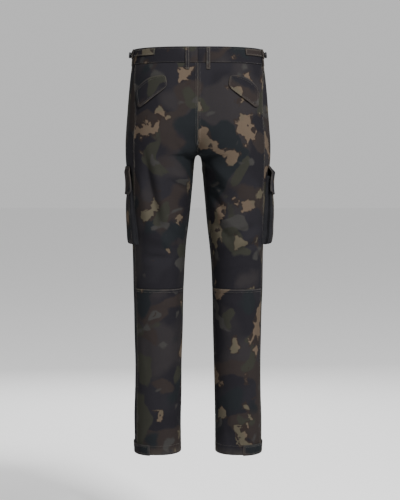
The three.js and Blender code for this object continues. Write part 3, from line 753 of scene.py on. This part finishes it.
def back_flap(leg):
    size = BACK_FLAP["size"]
    rows = ladder(size[0], "bound", "bound", 3.5)
    columns = ladder(size[1], "bound", "bound", 3.5)
    laid_on(
        leg, "back_flap", f"back_flap_{leg}", rows, columns, back_flap_place, BACK_FLAP["wall"], size,
        edge="bound", round_by=BACK_FLAP["corner"],
    )


def pocket_depth(leg, z):
    t = clamp((POCKET["mouth"] - z) / (POCKET["mouth"] - POCKET["bottom"]))
    return POCKET["depth"][leg] * mix(POCKET["mouth_share"][leg], 1, smooth(t * 1.6))


def gusset_at(s, opened):
    """In from a pocket's edge and share of its depth, at s from 0 at the leg to 1 at the pocket's face."""
    k = clamp(s) * (len(GUSSET) - 1)
    i = int(min(k, len(GUSSET) - 2))
    t = smooth(k - i) * 0.5 + (k - i) * 0.5
    flat, stood, share = (mix(GUSSET[i][c], GUSSET[i + 1][c], t) for c in range(3))
    return mix(flat, stood, opened), share


def cargo_bag(leg):
    """A bellows pocket: pleated gussets at its sides, a face that sags over them, and a rounded foot."""
    width, mouth, bottom = POCKET["width"], POCKET["mouth"], POCKET["bottom"]
    rear = POCKET["rear"][leg]
    gusset_steps = 12
    face_steps = 30
    across = [("rear", k / gusset_steps) for k in range(gusset_steps)]
    across += [("face", k / face_steps) for k in range(face_steps + 1)]
    across += [("fore", 1 - k / gusset_steps) for k in range(1, gusset_steps + 1)]
    low = bottom + POCKET["corner_run"]
    heights = [(mix(mouth, low, k / 26), 1) for k in range(27)]
    heights += [(bottom + rise, share) for rise, share in POCKET_FOOT]
    places, flat = [], []
    for z, share_down in heights:
        depth = pocket_depth(leg, z) * share_down
        opened = clamp(depth / GUSSET_OPEN_AT)
        row, flat_row = [], []
        spread = 0
        before = None
        for part, s in across:
            if part == "face":
                inset = mix(GUSSET[-1][0], width - GUSSET[-1][0], s)
                share = 1 + (POCKET["face_share"] - 1) * smooth(min(s, 1 - s) * 5)
            else:
                inset, share = gusset_at(s, opened)
                inset = inset if part == "rear" else width - inset
            sag = noise.noise(Vector((inset / 26, z / 34, 7.3 if leg == "left" else 2.1)))
            lift = LAY_GAP + depth * share + 0.9 * sag * smooth(share) * share_down
            distance = rear - inset
            row.append((z, turn_round(z, distance), max(LAY_GAP, lift)))
            here = (distance, lift)
            spread += math.dist(here, before) if before else 0
            before = here
            flat_row.append((spread, z - 0.5 * (1 - share_down) * depth))
        middle = flat_row[len(flat_row) // 2][0]
        places.append(row)
        flat.append([(u - middle, v) for u, v in flat_row])
    flat = shifted(flat, cut_place(f"cargo_bag_{leg}"))

    def in_gusset(column):
        return across[column][0] == "rear" or across[min(column + 1, len(across) - 1)][0] == "fore"

    # The gussets take the near-black cloth that is painted shade, standing for the shade inside the bellows
    piece = cloth_from(
        f"cargo_bag_cloth_{leg}", leg, places, flat, 1.0, camo[leg], reverse,
        other_columns=in_gusset, other=bellows,
    )
    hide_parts(f"cargo_bag_{leg}")
    declare(flat)


def cargo_flap_size():
    f = POCKET_FLAP
    return f["top"] - f["bottom"], POCKET["width"] + 2 * f["overhang"]


def cargo_flap_place(leg):
    f = POCKET_FLAP
    rear = POCKET["rear"][leg] + f["overhang"]
    width = POCKET["width"] + 2 * f["overhang"]

    def place(s, t):
        along = s * width
        from_edge = min(along, width - along)
        corner = f["corner"] * t * (1 - smooth(from_edge / 14))
        z = mix(f["top"], f["bottom"] + corner, t)
        over_bag = smooth((f["top"] - z) / (f["top"] - POCKET["mouth"] - f["rise"]))
        crown = mix(0.75, 1, smooth(from_edge / f["overhang"]))
        lift = LAY_GAP + over_bag * crown * (pocket_depth(leg, z) * POCKET["face_share"] + f["slack"])
        sag = 0.5 * noise.noise(Vector((along / 30, z / 30, 4.4))) * over_bag
        return z, turn_round(z, rear - along), lift + sag

    return place


def cargo_flap(leg):
    size = cargo_flap_size()
    rows = ladder(size[0], "bound", "bound", 3.5)
    columns = ladder(size[1], "bound", "bound", 4.5)
    laid_on(
        leg, "cargo_flap", f"cargo_flap_{leg}", rows, columns, cargo_flap_place(leg), POCKET_FLAP["wall"], size,
        edge="bound", round_by=POCKET_FLAP["round_by"],
    )


def loop_place(name):
    distance, face = LOOP_PLACES[name]
    top, bottom = LOOP_ROWS[0][0], LOOP_ROWS[-1][0]
    heights = [-row[0] for row in LOOP_ROWS]
    stands = [row[1] for row in LOOP_ROWS]

    def place(s, t):
        z = mix(top, bottom, t)
        on_tab = smooth((z - (TAB["middle"] - TAB["height"] / 2 - 6)) / 4) if face == "round" else 0
        on_band = smooth((z - (WAIST_SEAM - 6)) / 5)
        middle = run_to(z, turn_round(z, distance) if face == "round" else turn_where(z, distance, face))
        lift = LAY_GAP + BAND_PROUD * on_band + (TAB["wall"] + LAY_GAP) * on_tab
        return z, turn_after(z, middle + (s - 0.5) * LOOP_WIDTH), lift + look_up(heights, -z, stands)

    return place


def belt_loop(leg, name):
    size = (LOOP_ROWS[0][0] - LOOP_ROWS[-1][0], LOOP_WIDTH)
    rows = [k * size[0] / 27 for k in range(28)]
    columns = [0, 0.7, 2, 3.4, 5, 6.6, 8, 9.3, 10]
    laid_on(
        leg, f"belt_loop_{name}", f"belt_loop_{name}_{leg}", rows, columns, loop_place(name), 1.4, size,
        edge="strip",
    )


def waist_tab_place(leg):
    middle = TAB["middle"]
    start = run_to(middle, turn_where(middle, TAB["start"][leg], "back"))
    end = run_to(middle, turn_round(middle, -TAB["past_button"]))

    def place(s, t):
        half = TAB["height"] / 2 * (1 - 0.45 * smooth((s - 0.93) / 0.07))
        return middle + mix(half, -half, t), turn_after(middle, mix(start, end, s)), BAND_PROUD + LAY_GAP

    return place, end - start


def waist_tab(leg):
    place, width = waist_tab_place(leg)
    size = (TAB["height"], width)
    rows = [0, 0.8, 2.2, 3.4, 5.4, 8.5, 11.6, 13.6, 14.8, 16.2, 17]
    columns = ladder(width, "turned", "turned", 3.5)
    laid_on(
        leg, "waist_tab", f"waist_tab_{leg}", rows, columns, place, TAB["wall"], size,
        edge="strip",
    )


def hem_tab_place(leg):
    rear = run_to(HEM, turn_where(HEM, HEM_TAB["rear"][leg], "back"))
    front = run_to(HEM, turn_round(HEM, -HEM_TAB["ahead"]))

    def place(s, t):
        z = mix(HEM + HEM_TAB["height"], HEM - HEM_TAB["below"], t)
        return z, turn_after(HEM, mix(rear, front, s)), HEM_PROUD + LAY_GAP

    return place, front - rear


def hem_tab(leg):
    place, width = hem_tab_place(leg)
    size = (HEM_TAB["height"] + HEM_TAB["below"], width)
    rows = ladder(size[0], "turned", "turned", 3)
    columns = ladder(width, "turned", "turned", 3.5)
    laid_on(
        leg, "hem_tab", f"hem_tab_{leg}", rows, columns, place, HEM_TAB["wall"], size,
    )


def fly_underlap():
    """The shield behind the fly."""
    right, left, top, bottom, below = 6, 46, 4, -168, 0.5
    inside = BAND_WALL - BAND_PROUD + below
    across = ladder(right + left, "turned", "turned", 5)
    down = ladder(top - bottom, "turned", "turned", 7)
    points, flat, turns = [], [], []
    for d in down:
        z = top - d
        row, flat_row, turn_row = [], [], []
        for a in across:
            x = a - right
            turn = turn_where(z, max(abs(x), 0.4), "front")
            base = placed(z, turn)
            row.append(Vector((x, base[1] + inside + 0.2, base[2])) * MM)
            flat_row.append((x, z))
            turn_row.append((z, turn))
        points.append(row)
        flat.append(flat_row)
        turns.append(turn_row)
    flat = shifted(flat, cut_place("fly_underlap"))
    piece = laid_out(
        "fly_underlap_cloth", points, flat, 1.2, camo["left"], lambda j, i: facing("left", *turns[j][i])
    )
    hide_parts("fly_underlap")
    declare(flat)


def made_of(bm, name, material):
    """An object from a finished mesh."""
    mesh = bpy.data.meshes.new(name)
    bm.to_mesh(mesh)
    bm.free()
    mesh.materials.append(material)
    piece = bpy.data.objects.new(name, mesh)
    bpy.context.scene.collection.objects.link(piece)
    return piece


def stitches(bm, leg, path, length=STITCH_LENGTH, pitch=STITCH_PITCH, width=STITCH_WIDTH):
    """A row of stitches along places on a leg: a height, a turn and a lift each."""
    points = [on_cloth(leg, *place) for place in path]
    carried = pitch / 2
    for (z, turn, _), a, b in zip(path, points, points[1:]):
        gone = (b - a).length / MM
        if gone < 1e-6:
            continue
        along = (b - a).normalized()
        side = facing(leg, z, turn).cross(along).normalized()
        up = along.cross(side)
        while carried < gone:
            axes = Matrix((along * length / 2, side * width / 2, up * width / 2)).transposed() * MM
            matrix = Matrix.Translation(a.lerp(b, carried / gone)) @ axes.to_4x4()
            bmesh.ops.create_icosphere(bm, subdivisions=1, radius=1, matrix=matrix)
            carried += pitch
        carried -= gone


def sewn(name, leg, paths, **kind):
    """One piece of stitching from several paths, each on the same leg."""
    bm = bmesh.new()
    for path in paths:
        stitches(bm, leg, path, **kind)
    for face in bm.faces:
        face.smooth = True
    piece = made_of(bm, name, thread)
    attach(piece, "root")


def steps(start, end, size=5.0):
    count = max(1, round(abs(end - start) / size))
    return [mix(start, end, k / count) for k in range(count + 1)]


def panel_stitching(leg, name, span, turns, edges):
    bottom, top, start_edge, end_edge = edges
    low, high = span
    heights = steps(low + 1, high - 1)
    typical = max(run_to(z, turns(z)[1]) - run_to(z, turns(z)[0]) for z in heights)
    paths = []

    def down_at(d, height):
        return [(z, panel_row(z, *turns(z), [d], typical)[0], height) for z in heights]

    for d in TOPSTITCH[start_edge]:
        paths.append(down_at(d, edge_height(start_edge, d) + STITCH_HEIGHT))
    for d in TOPSTITCH[end_edge]:
        paths.append(down_at(typical - d, edge_height(end_edge, d) + STITCH_HEIGHT))
    levels = [(low + d, edge_height(bottom, d)) for d in TOPSTITCH[bottom]]
    levels += [(high - d, edge_height(top, d)) for d in TOPSTITCH[top]]
    for z, height in levels:
        across = steps(1, typical - 1, 4)
        row_turns = panel_row(z, *turns(z), across, typical)
        paths.append([(z, turn, height + STITCH_HEIGHT) for turn in row_turns])
    sewn(f"{name}_stitching_{leg}", leg, paths)


def band_stitching(leg):
    paths = []
    for z in (WAIST_SEAM + 2.2, WAIST_TOP - 5.4):
        length = run_to(z, 4)
        height = BAND_PROUD + edge_height("turned", min(z - WAIST_SEAM, WAIST_TOP - z)) + STITCH_HEIGHT
        paths.append([(z, turn_after(z, run), height) for run in steps(1, length - 1, 4)])
    sewn(f"waistband_stitching_{leg}", leg, paths)


def border_stitching(leg, name, place, size, wall, inset, edge="turned", round_by=1):
    """A row of stitches inset from the edges of a laid-on piece."""
    length, width = size
    height = wall + edge_height(edge, inset) + STITCH_HEIGHT
    far_x, far_y = width - inset, length - inset
    corners = [(inset, inset), (inset, far_y), (far_x, far_y), (far_x, inset)]
    path = []
    for (xa, ya), (xb, yb) in zip(corners, corners[1:] + corners[:1]):
        count = max(2, round((abs(xb - xa) + abs(yb - ya)) / 3))
        for k in range(count + 1):
            x, y = rounded_off(mix(xa, xb, k / count), mix(ya, yb, k / count), width, length, round_by)
            z, turn, lift = place(x / width, y / length)
            path.append((z, turn, lift + height))
    sewn(f"{name}_stitching_{leg}", leg, [path])


def loop_stitching(leg, name):
    """Two rows of stitches down a belt loop, and bar tacks at its ends."""
    place = loop_place(name)

    def on_loop(s, t):
        z, turn, lift = place(s, t)
        return z, turn, lift + LOOP_STITCH_HEIGHT

    paths = [[on_loop(s, k / 20) for k in range(21)] for s in (0.2, 0.8)]
    sewn(f"belt_loop_{name}_stitching_{leg}", leg, paths, length=1.9, pitch=2.6)
    bars = [[on_loop(0.08 + 0.84 * k / 6, t) for k in range(7)] for t in (0.035, 0.06, 0.94, 0.965)]
    sewn(f"belt_loop_{name}_tacks_{leg}", leg, bars, length=1.7, pitch=1.0, width=0.7)


def bag_stitching(leg):
    """The topstitching along both sides of a pocket's face."""
    rear, width = POCKET["rear"][leg], POCKET["width"]
    heights = steps(POCKET["bottom"] + 6, POCKET["mouth"] - 4)
    faces = []
    for d in (GUSSET[-1][0] + 3, width - GUSSET[-1][0] - 3):
        path = []
        for z in heights:
            depth = pocket_depth(leg, z)
            sag = noise.noise(Vector((d / 26, z / 34, 7.3 if leg == "left" else 2.1)))
            crown = 1 + (POCKET["face_share"] - 1) * smooth(3 / (width - 16) * 5)
            path.append((z, turn_round(z, rear - d), LAY_GAP + depth * crown + 0.9 * sag + 0.15))
        faces.append(path)
    sewn(f"cargo_bag_stitching_{leg}", leg, faces)


def fly_stitching():
    """Two curved rows of stitches round the fly."""
    depth, corner, width = FLY["bottom"], FLY["corner"], FLY["width"]
    paths = []
    for inset in (0, 4):
        edge = width - inset - 4
        path = []
        for z in steps(WAIST_SEAM - 2, depth + corner, 4):
            turn = turn_where(z, edge, "front")
            path.append((z, turn, fly_height("left", z, turn) + 0.15))
        for k in range(1, 15):
            angle = k / 14 * math.pi / 2
            z = depth + corner - (corner - inset * 0.4) * math.sin(angle)
            x = max(0.8, edge * math.cos(angle))
            turn = turn_where(z, x, "front")
            path.append((z, turn, fly_height("left", z, turn) + 0.15))
        paths.append(path)
    sewn("fly_stitching", "left", paths)


def button(name, node, leg, z, turn, seat):
    """A moulded button on its shank, sewn with two bars of thread."""
    out = facing(leg, z, turn)
    base = on_cloth(leg, z, turn, seat + LAY_GAP) - out * relief(leg, z, turn) * MM
    radius, thick = BUTTON_RADIUS, BUTTON_THICKNESS
    bm = bmesh.new()
    profile = [(0, 0), (BUTTON_STEM_RADIUS, 0)]
    profile += [(radius - inset, BUTTON_STEM + thick * share) for inset, share in BUTTON_PROFILE]
    profile.append((0, BUTTON_STEM + thick * BUTTON_PROFILE[-1][1]))
    verts = [bm.verts.new((r, 0, y)) for r, y in profile]
    edges = [bm.edges.new(pair) for pair in zip(verts, verts[1:])]
    bmesh.ops.spin(
        bm, geom=verts + edges, cent=(0, 0, 0), axis=(0, 0, 1), angle=2 * math.pi, steps=40, use_merge=True
    )
    bmesh.ops.remove_doubles(bm, verts=bm.verts[:], dist=0.001)
    bmesh.ops.recalc_face_normals(bm, faces=bm.faces[:])
    turned = out.to_track_quat("Z", "Y").to_matrix().to_4x4()
    seated = Matrix.Translation(base) @ turned @ Matrix.Scale(MM, 4)
    bmesh.ops.transform(bm, matrix=seated, verts=bm.verts[:])
    for face in bm.faces:
        face.smooth = True
    piece = made_of(bm, name, horn)
    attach(piece, "root")
    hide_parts(node)
    bm = bmesh.new()
    top = BUTTON_STEM + thick * BUTTON_PROFILE[-1][1] + 0.05
    for x in (-1.5, 1.5):
        for offset in (-0.3, 0.3):
            place = Matrix.Translation((x, offset, top)) @ Matrix.Diagonal((0.35, 2.1, 0.3, 1))
            bmesh.ops.create_icosphere(bm, subdivisions=2, radius=1, matrix=place)
    bmesh.ops.transform(bm, matrix=seated, verts=bm.verts[:])
    tie = made_of(bm, f"{name}_thread", thread)
    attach(tie, "root")


class Wire:
    """A shader socket that can be used in arithmetic."""

    def __init__(self, finish, socket):
        self.finish = finish
        self.socket = socket

    def __add__(self, other):
        return self.finish.math("ADD", self, other)

    def __radd__(self, other):
        return self.finish.math("ADD", other, self)

    def __sub__(self, other):
        return self.finish.math("SUBTRACT", self, other)

    def __rsub__(self, other):
        return self.finish.math("SUBTRACT", other, self)

    def __mul__(self, other):
        return self.finish.math("MULTIPLY", self, other)

    def __rmul__(self, other):
        return self.finish.math("MULTIPLY", other, self)


class Finish:
    """A material's nodes, made one at a time."""

    def __init__(self, name, roughness, sheen=0.0, specular=0.03):
        self.material = bpy.data.materials.new(name)
        self.material.use_nodes = True
        self.tree = self.material.node_tree
        self.shader = self.tree.nodes["Principled BSDF"]
        self.shader.inputs["Roughness"].default_value = roughness
        self.shader.inputs["Sheen Weight"].default_value = sheen
        self.shader.inputs["Sheen Roughness"].default_value = 0.5
        self.shader.inputs["Specular IOR Level"].default_value = specular

    def node(self, kind, settings=None, inputs=None, output=0):
        made = self.tree.nodes.new(kind)
        for name, value in (settings or {}).items():
            if name == "stops":
                ramp = made.color_ramp
                while len(ramp.elements) < len(value):
                    ramp.elements.new(0.5)
                for element, (position, colour) in zip(ramp.elements, value):
                    element.position = position
                    element.color = colour
            else:
                setattr(made, name, value)
        for name, value in (inputs or {}).items():
            if isinstance(value, Wire):
                self.tree.links.new(value.socket, made.inputs[name])
            else:
                made.inputs[name].default_value = value
        return Wire(self, made.outputs[output])

    def math(self, operation, *values):
        return self.node("ShaderNodeMath", {"operation": operation}, dict(enumerate(values)))

    def noise(self, vector, scale, detail=2.0, rough=0.5, output=0):
        kind = {"noise_dimensions": "3D"}
        inputs = {"Vector": vector, "Scale": scale, "Detail": detail, "Roughness": rough}
        return self.node("ShaderNodeTexNoise", kind, inputs, output)

    def above(self, field, level, softness):
        """1 where a field is above a level, 0 below it, and soft between."""
        limits = {"Value": field, "From Min": level - softness, "From Max": level + softness}
        return self.node("ShaderNodeMapRange", {"clamp": True}, limits)

    def blend(self, factor, under, over):
        kind = {"data_type": "RGBA", "blend_type": "MIX"}
        return self.node("ShaderNodeMix", kind, {0: factor, 6: under, 7: over}, output=2)

    def twill(self, flat, fleck, pucker):
        """The raised diagonal ribs of the weave, and the slight puckering of washed cloth."""
        across = self.node("ShaderNodeSeparateXYZ", {}, {0: flat})
        along = self.node("ShaderNodeSeparateXYZ", {}, {0: flat}, output=1)
        turns = (across * RIB_SLANT + along) * (2 * math.pi / RIB_PITCH)
        rib = self.node("ShaderNodeMath", {"operation": "SINE"}, {0: turns})
        height = rib * 0.00006 + pucker * 0.0009 + fleck * 0.0001
        bump = self.node("ShaderNodeBump", {}, {"Strength": 0.55, "Distance": 1.0, "Height": height})
        self.feed("Normal", bump)

    def feed(self, name, value):
        self.tree.links.new(value.socket, self.shader.inputs[name])


def dye(code):
    """A colour from its six-figure code, as the shader wants it."""
    parts = [int(code[k : k + 2], 16) / 255 for k in (0, 2, 4)]
    return [p / 12.92 if p < 0.04045 else ((p + 0.055) / 1.055) ** 2.4 for p in parts] + [1]


# The print's blots: where in the noise, how fine, how stretched, how high a level, how soft an edge, colour
BLOTS = [
    ((3.1, 0, 0), 5, (1, 1.3, 1), 0.52, 0.03, "1a191c"),
    ((0, 5.2, 1), 6, (1, 1, 1), 0.57, 0.03, "201e1f"),
    ((7.7, 1.2, 2), 7, (1, 1.3, 1), 0.59, 0.014, "211d1c"),
    ((2.2, 8.1, 3), 8, (1.2, 1, 1), 0.6, 0.02, "16181a"),
    ((4.4, 4.9, 4), 10, (1.2, 1, 1), 0.63, 0.01, "22221e"),
    ((9.1, 3.3, 5), 17, (1, 1.3, 1), 0.67, 0.02, "282726"),
]
GROUND = "171619"
TAN = ("423930", "3b372e")
# Pale colour along the edges: partly rubbed wear, partly a painted highlight on the raised edges
EDGE_WEAR_AND_HIGHLIGHT_COLOUR = "4c4842"


def printed_twill(name, tan_level, seed):
    """Cotton twill printed with blots of near-black, brown, olive and grey, and ragged tan ones over them.
    The pattern lies in the measure of the flat cloth, so that it breaks at the seams."""
    cloth = Finish(name, roughness=0.9)
    flat = cloth.node("ShaderNodeUVMap", {"uv_map": "cloth"})
    moved = cloth.node("ShaderNodeMapping", {}, {"Vector": flat, "Location": (seed, seed * 0.7, seed * 1.3)})

    def pushed(place, scale, detail, amount):
        push = cloth.noise(place, scale, detail, 0.6, output=1)
        by = (amount, amount, amount)
        kind = {"operation": "MULTIPLY_ADD"}
        return cloth.node("ShaderNodeVectorMath", kind, {0: push, 1: by, 2: place})

    wavy = pushed(pushed(moved, 22, 1, 0.03), 150, 2, 0.007)
    ragged = pushed(pushed(moved, 28, 1, 0.03), 60, 3, 0.024)

    def field(place, shift, scale, stretch=(1, 1, 1), detail=1.0):
        there = cloth.node("ShaderNodeMapping", {}, {"Vector": place, "Location": shift, "Scale": stretch})
        return cloth.noise(there, scale, detail, 0.45)

    colour = dye(GROUND)
    for shift, scale, stretch, level, softness, code in BLOTS:
        blot = cloth.above(field(wavy, shift, scale, stretch), level, softness)
        colour = cloth.blend(blot, colour, dye(code))
    patches = field(ragged, (6.3, 2.8, 6), 14, (1.2, 1, 1), 1.5)
    thorns = field(ragged, (1.9, 6.6, 7), 62, detail=0)
    vein = field(ragged, (5.1, 0.9, 3), 21, detail=0.5) - 0.5
    limb = 1 - cloth.node("ShaderNodeMath", {"operation": "ABSOLUTE"}, {0: vein}) * 45
    tan_field = patches + 0.05 * thorns + 0.03 * cloth.above(limb, 0.0, 0.3)
    tan = cloth.above(tan_field, tan_level + 0.025, 0.0035)
    holes = cloth.above(field(ragged, (8.8, 0.4, 8), 34), 0.64, 0.006)
    rim = cloth.above(tan_field, tan_level, 0.004)
    tan_dye = cloth.blend(cloth.above(field(wavy, (0.7, 9.4, 9), 8), 0.5, 0.03), dye(TAN[0]), dye(TAN[1]))
    colour = cloth.blend(rim * 0.8, colour, dye("201b19"))
    colour = cloth.blend(tan * (1 - holes), colour, tan_dye)
    # Paler along the edges: partly wear, partly a painted highlight where the raised edges would catch the light
    wear = cloth.node("ShaderNodeAttribute", {"attribute_name": "wear"}, output=2)
    colour = cloth.blend(wear * 0.5 * cloth.noise(moved, 70, 2, 0.5), colour, dye(EDGE_WEAR_AND_HIGHLIGHT_COLOUR))
    fade = cloth.noise(moved, 26, 3, 0.6)
    fleck = cloth.noise(moved, 1500, 1, 0.5)
    shade = 0.84 + 0.16 * fade + 0.16 * fleck
    grey = cloth.node("ShaderNodeCombineColor", {}, {0: shade, 1: shade, 2: shade})
    kind = {"data_type": "RGBA", "blend_type": "MULTIPLY"}
    cloth.feed("Base Color", cloth.node("ShaderNodeMix", kind, {0: 1.0, 6: colour, 7: grey}, output=2))
    cloth.twill(flat, fleck, cloth.noise(moved, 90, 2, 0.5))
    cloth.feed("Roughness", 0.84 + 0.1 * fade)
    return cloth.material


def plain_twill(name, codes, blot_scale):
    """Undyed or single-colour twill, a little uneven. The near-black one in the gussets is painted shade."""
    cloth = Finish(name, roughness=0.92)
    flat = cloth.node("ShaderNodeUVMap", {"uv_map": "cloth"})
    patch = cloth.above(cloth.noise(flat, blot_scale, 2, 0.5), 0.55, 0.08)
    fleck = cloth.noise(flat, 1200, 1)
    colour = cloth.blend(patch, dye(codes[0]), dye(codes[1]))
    cloth.feed("Base Color", cloth.blend(fleck * 0.25, colour, dye(codes[2])))
    cloth.twill(flat, fleck, cloth.noise(flat, 90, 2, 0.5))
    return cloth.material


def spun_thread():
    cotton = Finish("thread", roughness=0.7, sheen=0.2)
    place = cotton.node("ShaderNodeTexCoord", output=3)
    twist = cotton.noise(place, 3000, 1)
    cotton.feed("Base Color", cotton.blend(twist, dye("38352f"), dye("48443d")))
    return cotton.material


def moulded_horn():
    horn_like = Finish("moulded_button", roughness=0.45, specular=0.22)
    place = horn_like.node("ShaderNodeTexCoord", output=3)
    grain = horn_like.noise(place, 700, 3, 0.6)
    horn_like.feed("Base Color", horn_like.blend(grain, dye("121214"), dye("1e1e21")))
    horn_like.feed("Roughness", 0.38 + 0.2 * grain)
    bump = horn_like.node("ShaderNodeBump", {}, {"Strength": 0.3, "Distance": 1.0, "Height": grain * 0.0001})
    horn_like.feed("Normal", bump)
    return horn_like.material


def soft_light(name, place, aim, size, power):
    data = bpy.data.lights.new(name, "AREA")
    data.shape = "RECTANGLE"
    data.size, data.size_y = size
    data.energy = power
    light = bpy.data.objects.new(name, data)
    light.location = place
    light.rotation_euler = (Vector(aim) - Vector(place)).to_track_quat("-Z", "Y").to_euler()
    bpy.context.scene.collection.objects.link(light)


def photographed_from(distance, height, aim_height, sideways, frame_height):
    """A camera behind the wearer, turned a little down, with frame_height metres in view at the garment."""
    data = bpy.data.cameras.new("camera")
    data.sensor_fit = "VERTICAL"
    data.sensor_height = 24
    reach = math.hypot(distance, height - aim_height)
    data.lens = 12 / (frame_height / 2 / reach)
    camera = bpy.data.objects.new("camera", data)
    camera.location = (sideways, distance, height)
    look = Vector((0, -distance, aim_height - height))
    camera.rotation_euler = look.to_track_quat("-Z", "Y").to_euler()
    bpy.context.scene.collection.objects.link(camera)
    bpy.context.scene.camera = camera


def studio():
    """A plain pale floor and soft light from all round, strongest from behind the wearer's right."""
    bm = bmesh.new()
    bmesh.ops.create_grid(bm, x_segments=1, y_segments=1, size=30)
    bmesh.ops.translate(bm, verts=bm.verts[:], vec=(0, 0, HEM * MM - FLOOR_BELOW))
    pale = Finish("pale_floor", roughness=0.9)
    pale.shader.inputs["Base Color"].default_value = (0.93, 0.93, 0.93, 1)
    floor = made_of(bm, "floor", pale.material)
    world = bpy.data.worlds.new("studio")
    world.use_nodes = True
    background = world.node_tree.nodes["Background"]
    background.inputs["Color"].default_value = (1, 1, 1, 1)
    background.inputs["Strength"].default_value = 0.65
    bpy.context.scene.world = world
    soft_light("key", (-1.7, 3.6, 3.0), (0, 0, -0.5), (0.8, 0.8), 620)
    soft_light("fill", (-2.6, 2.8, 0.2), (0, 0, -0.5), (1.8, 2.2), 15)
    soft_light("front_fill", (0.4, -3.4, 0.9), (0, 0, -0.5), (2.2, 2.2), 60)


camo = {
    "left": printed_twill("camouflage_twill_left", 0.685, 2.3),
    "right": printed_twill("camouflage_twill_right", 0.615, 5.9),
}
reverse = plain_twill("twill_reverse", ("2c2c2f", "35353a", "45454a"), 12)
# Near-black gusset cloth: painted shade, standing for the deep shade inside the pockets' bellows
bellows = plain_twill("bellows_painted_shade", ("151517", "1a1a1c", "222224"), 20)
thread = spun_thread()
horn = moulded_horn()

for leg in SIDES:
    for name, nodes, span, side, edges in SEWING:
        turns = turns_of(leg, side)
        panel(leg, name, nodes, span, turns, edges)
        panel_stitching(leg, name, span, turns, edges)
    waistband(leg)
    band_stitching(leg)
    back_flap(leg)
    flap = BACK_FLAP
    border_stitching(
        leg, "back_flap", back_flap_place, flap["size"], flap["wall"], 5.6, "bound", flap["corner"]
    )
    cargo_bag(leg)
    bag_stitching(leg)
    cargo_flap(leg)
    flap = POCKET_FLAP
    border_stitching(
        leg, "cargo_flap", cargo_flap_place(leg), cargo_flap_size(), flap["wall"], 5.6, "bound", flap["round_by"]
    )
    for name in LOOP_PLACES:
        belt_loop(leg, name)
        loop_stitching(leg, name)
    waist_tab(leg)
    tab_place, tab_width = waist_tab_place(leg)
    border_stitching(leg, "waist_tab", tab_place, (TAB["height"], tab_width), TAB["wall"], 2.4, "strip")
    hem_tab(leg)
    hem_place, hem_width = hem_tab_place(leg)
    hem_size = (HEM_TAB["height"] + HEM_TAB["below"], hem_width)
    border_stitching(leg, "hem_tab", hem_place, hem_size, HEM_TAB["wall"], 5.4)
    on_tab = BAND_PROUD + LAY_GAP + TAB["wall"]
    button(f"tab_button_face_{leg}", f"tab_button_{leg}", leg, TAB["middle"], 2, on_tab)
fly_underlap()
fly_stitching()
fly_turn = turn_where(0, WAIST_BUTTON_ACROSS, "front")
button("waist_button_face", "waist_button", "left", 0, fly_turn, BAND_PROUD)

studio()
photographed_from(distance=4.2, height=-0.252, aim_height=-0.4957, sideways=-0.0054, frame_height=1.285)
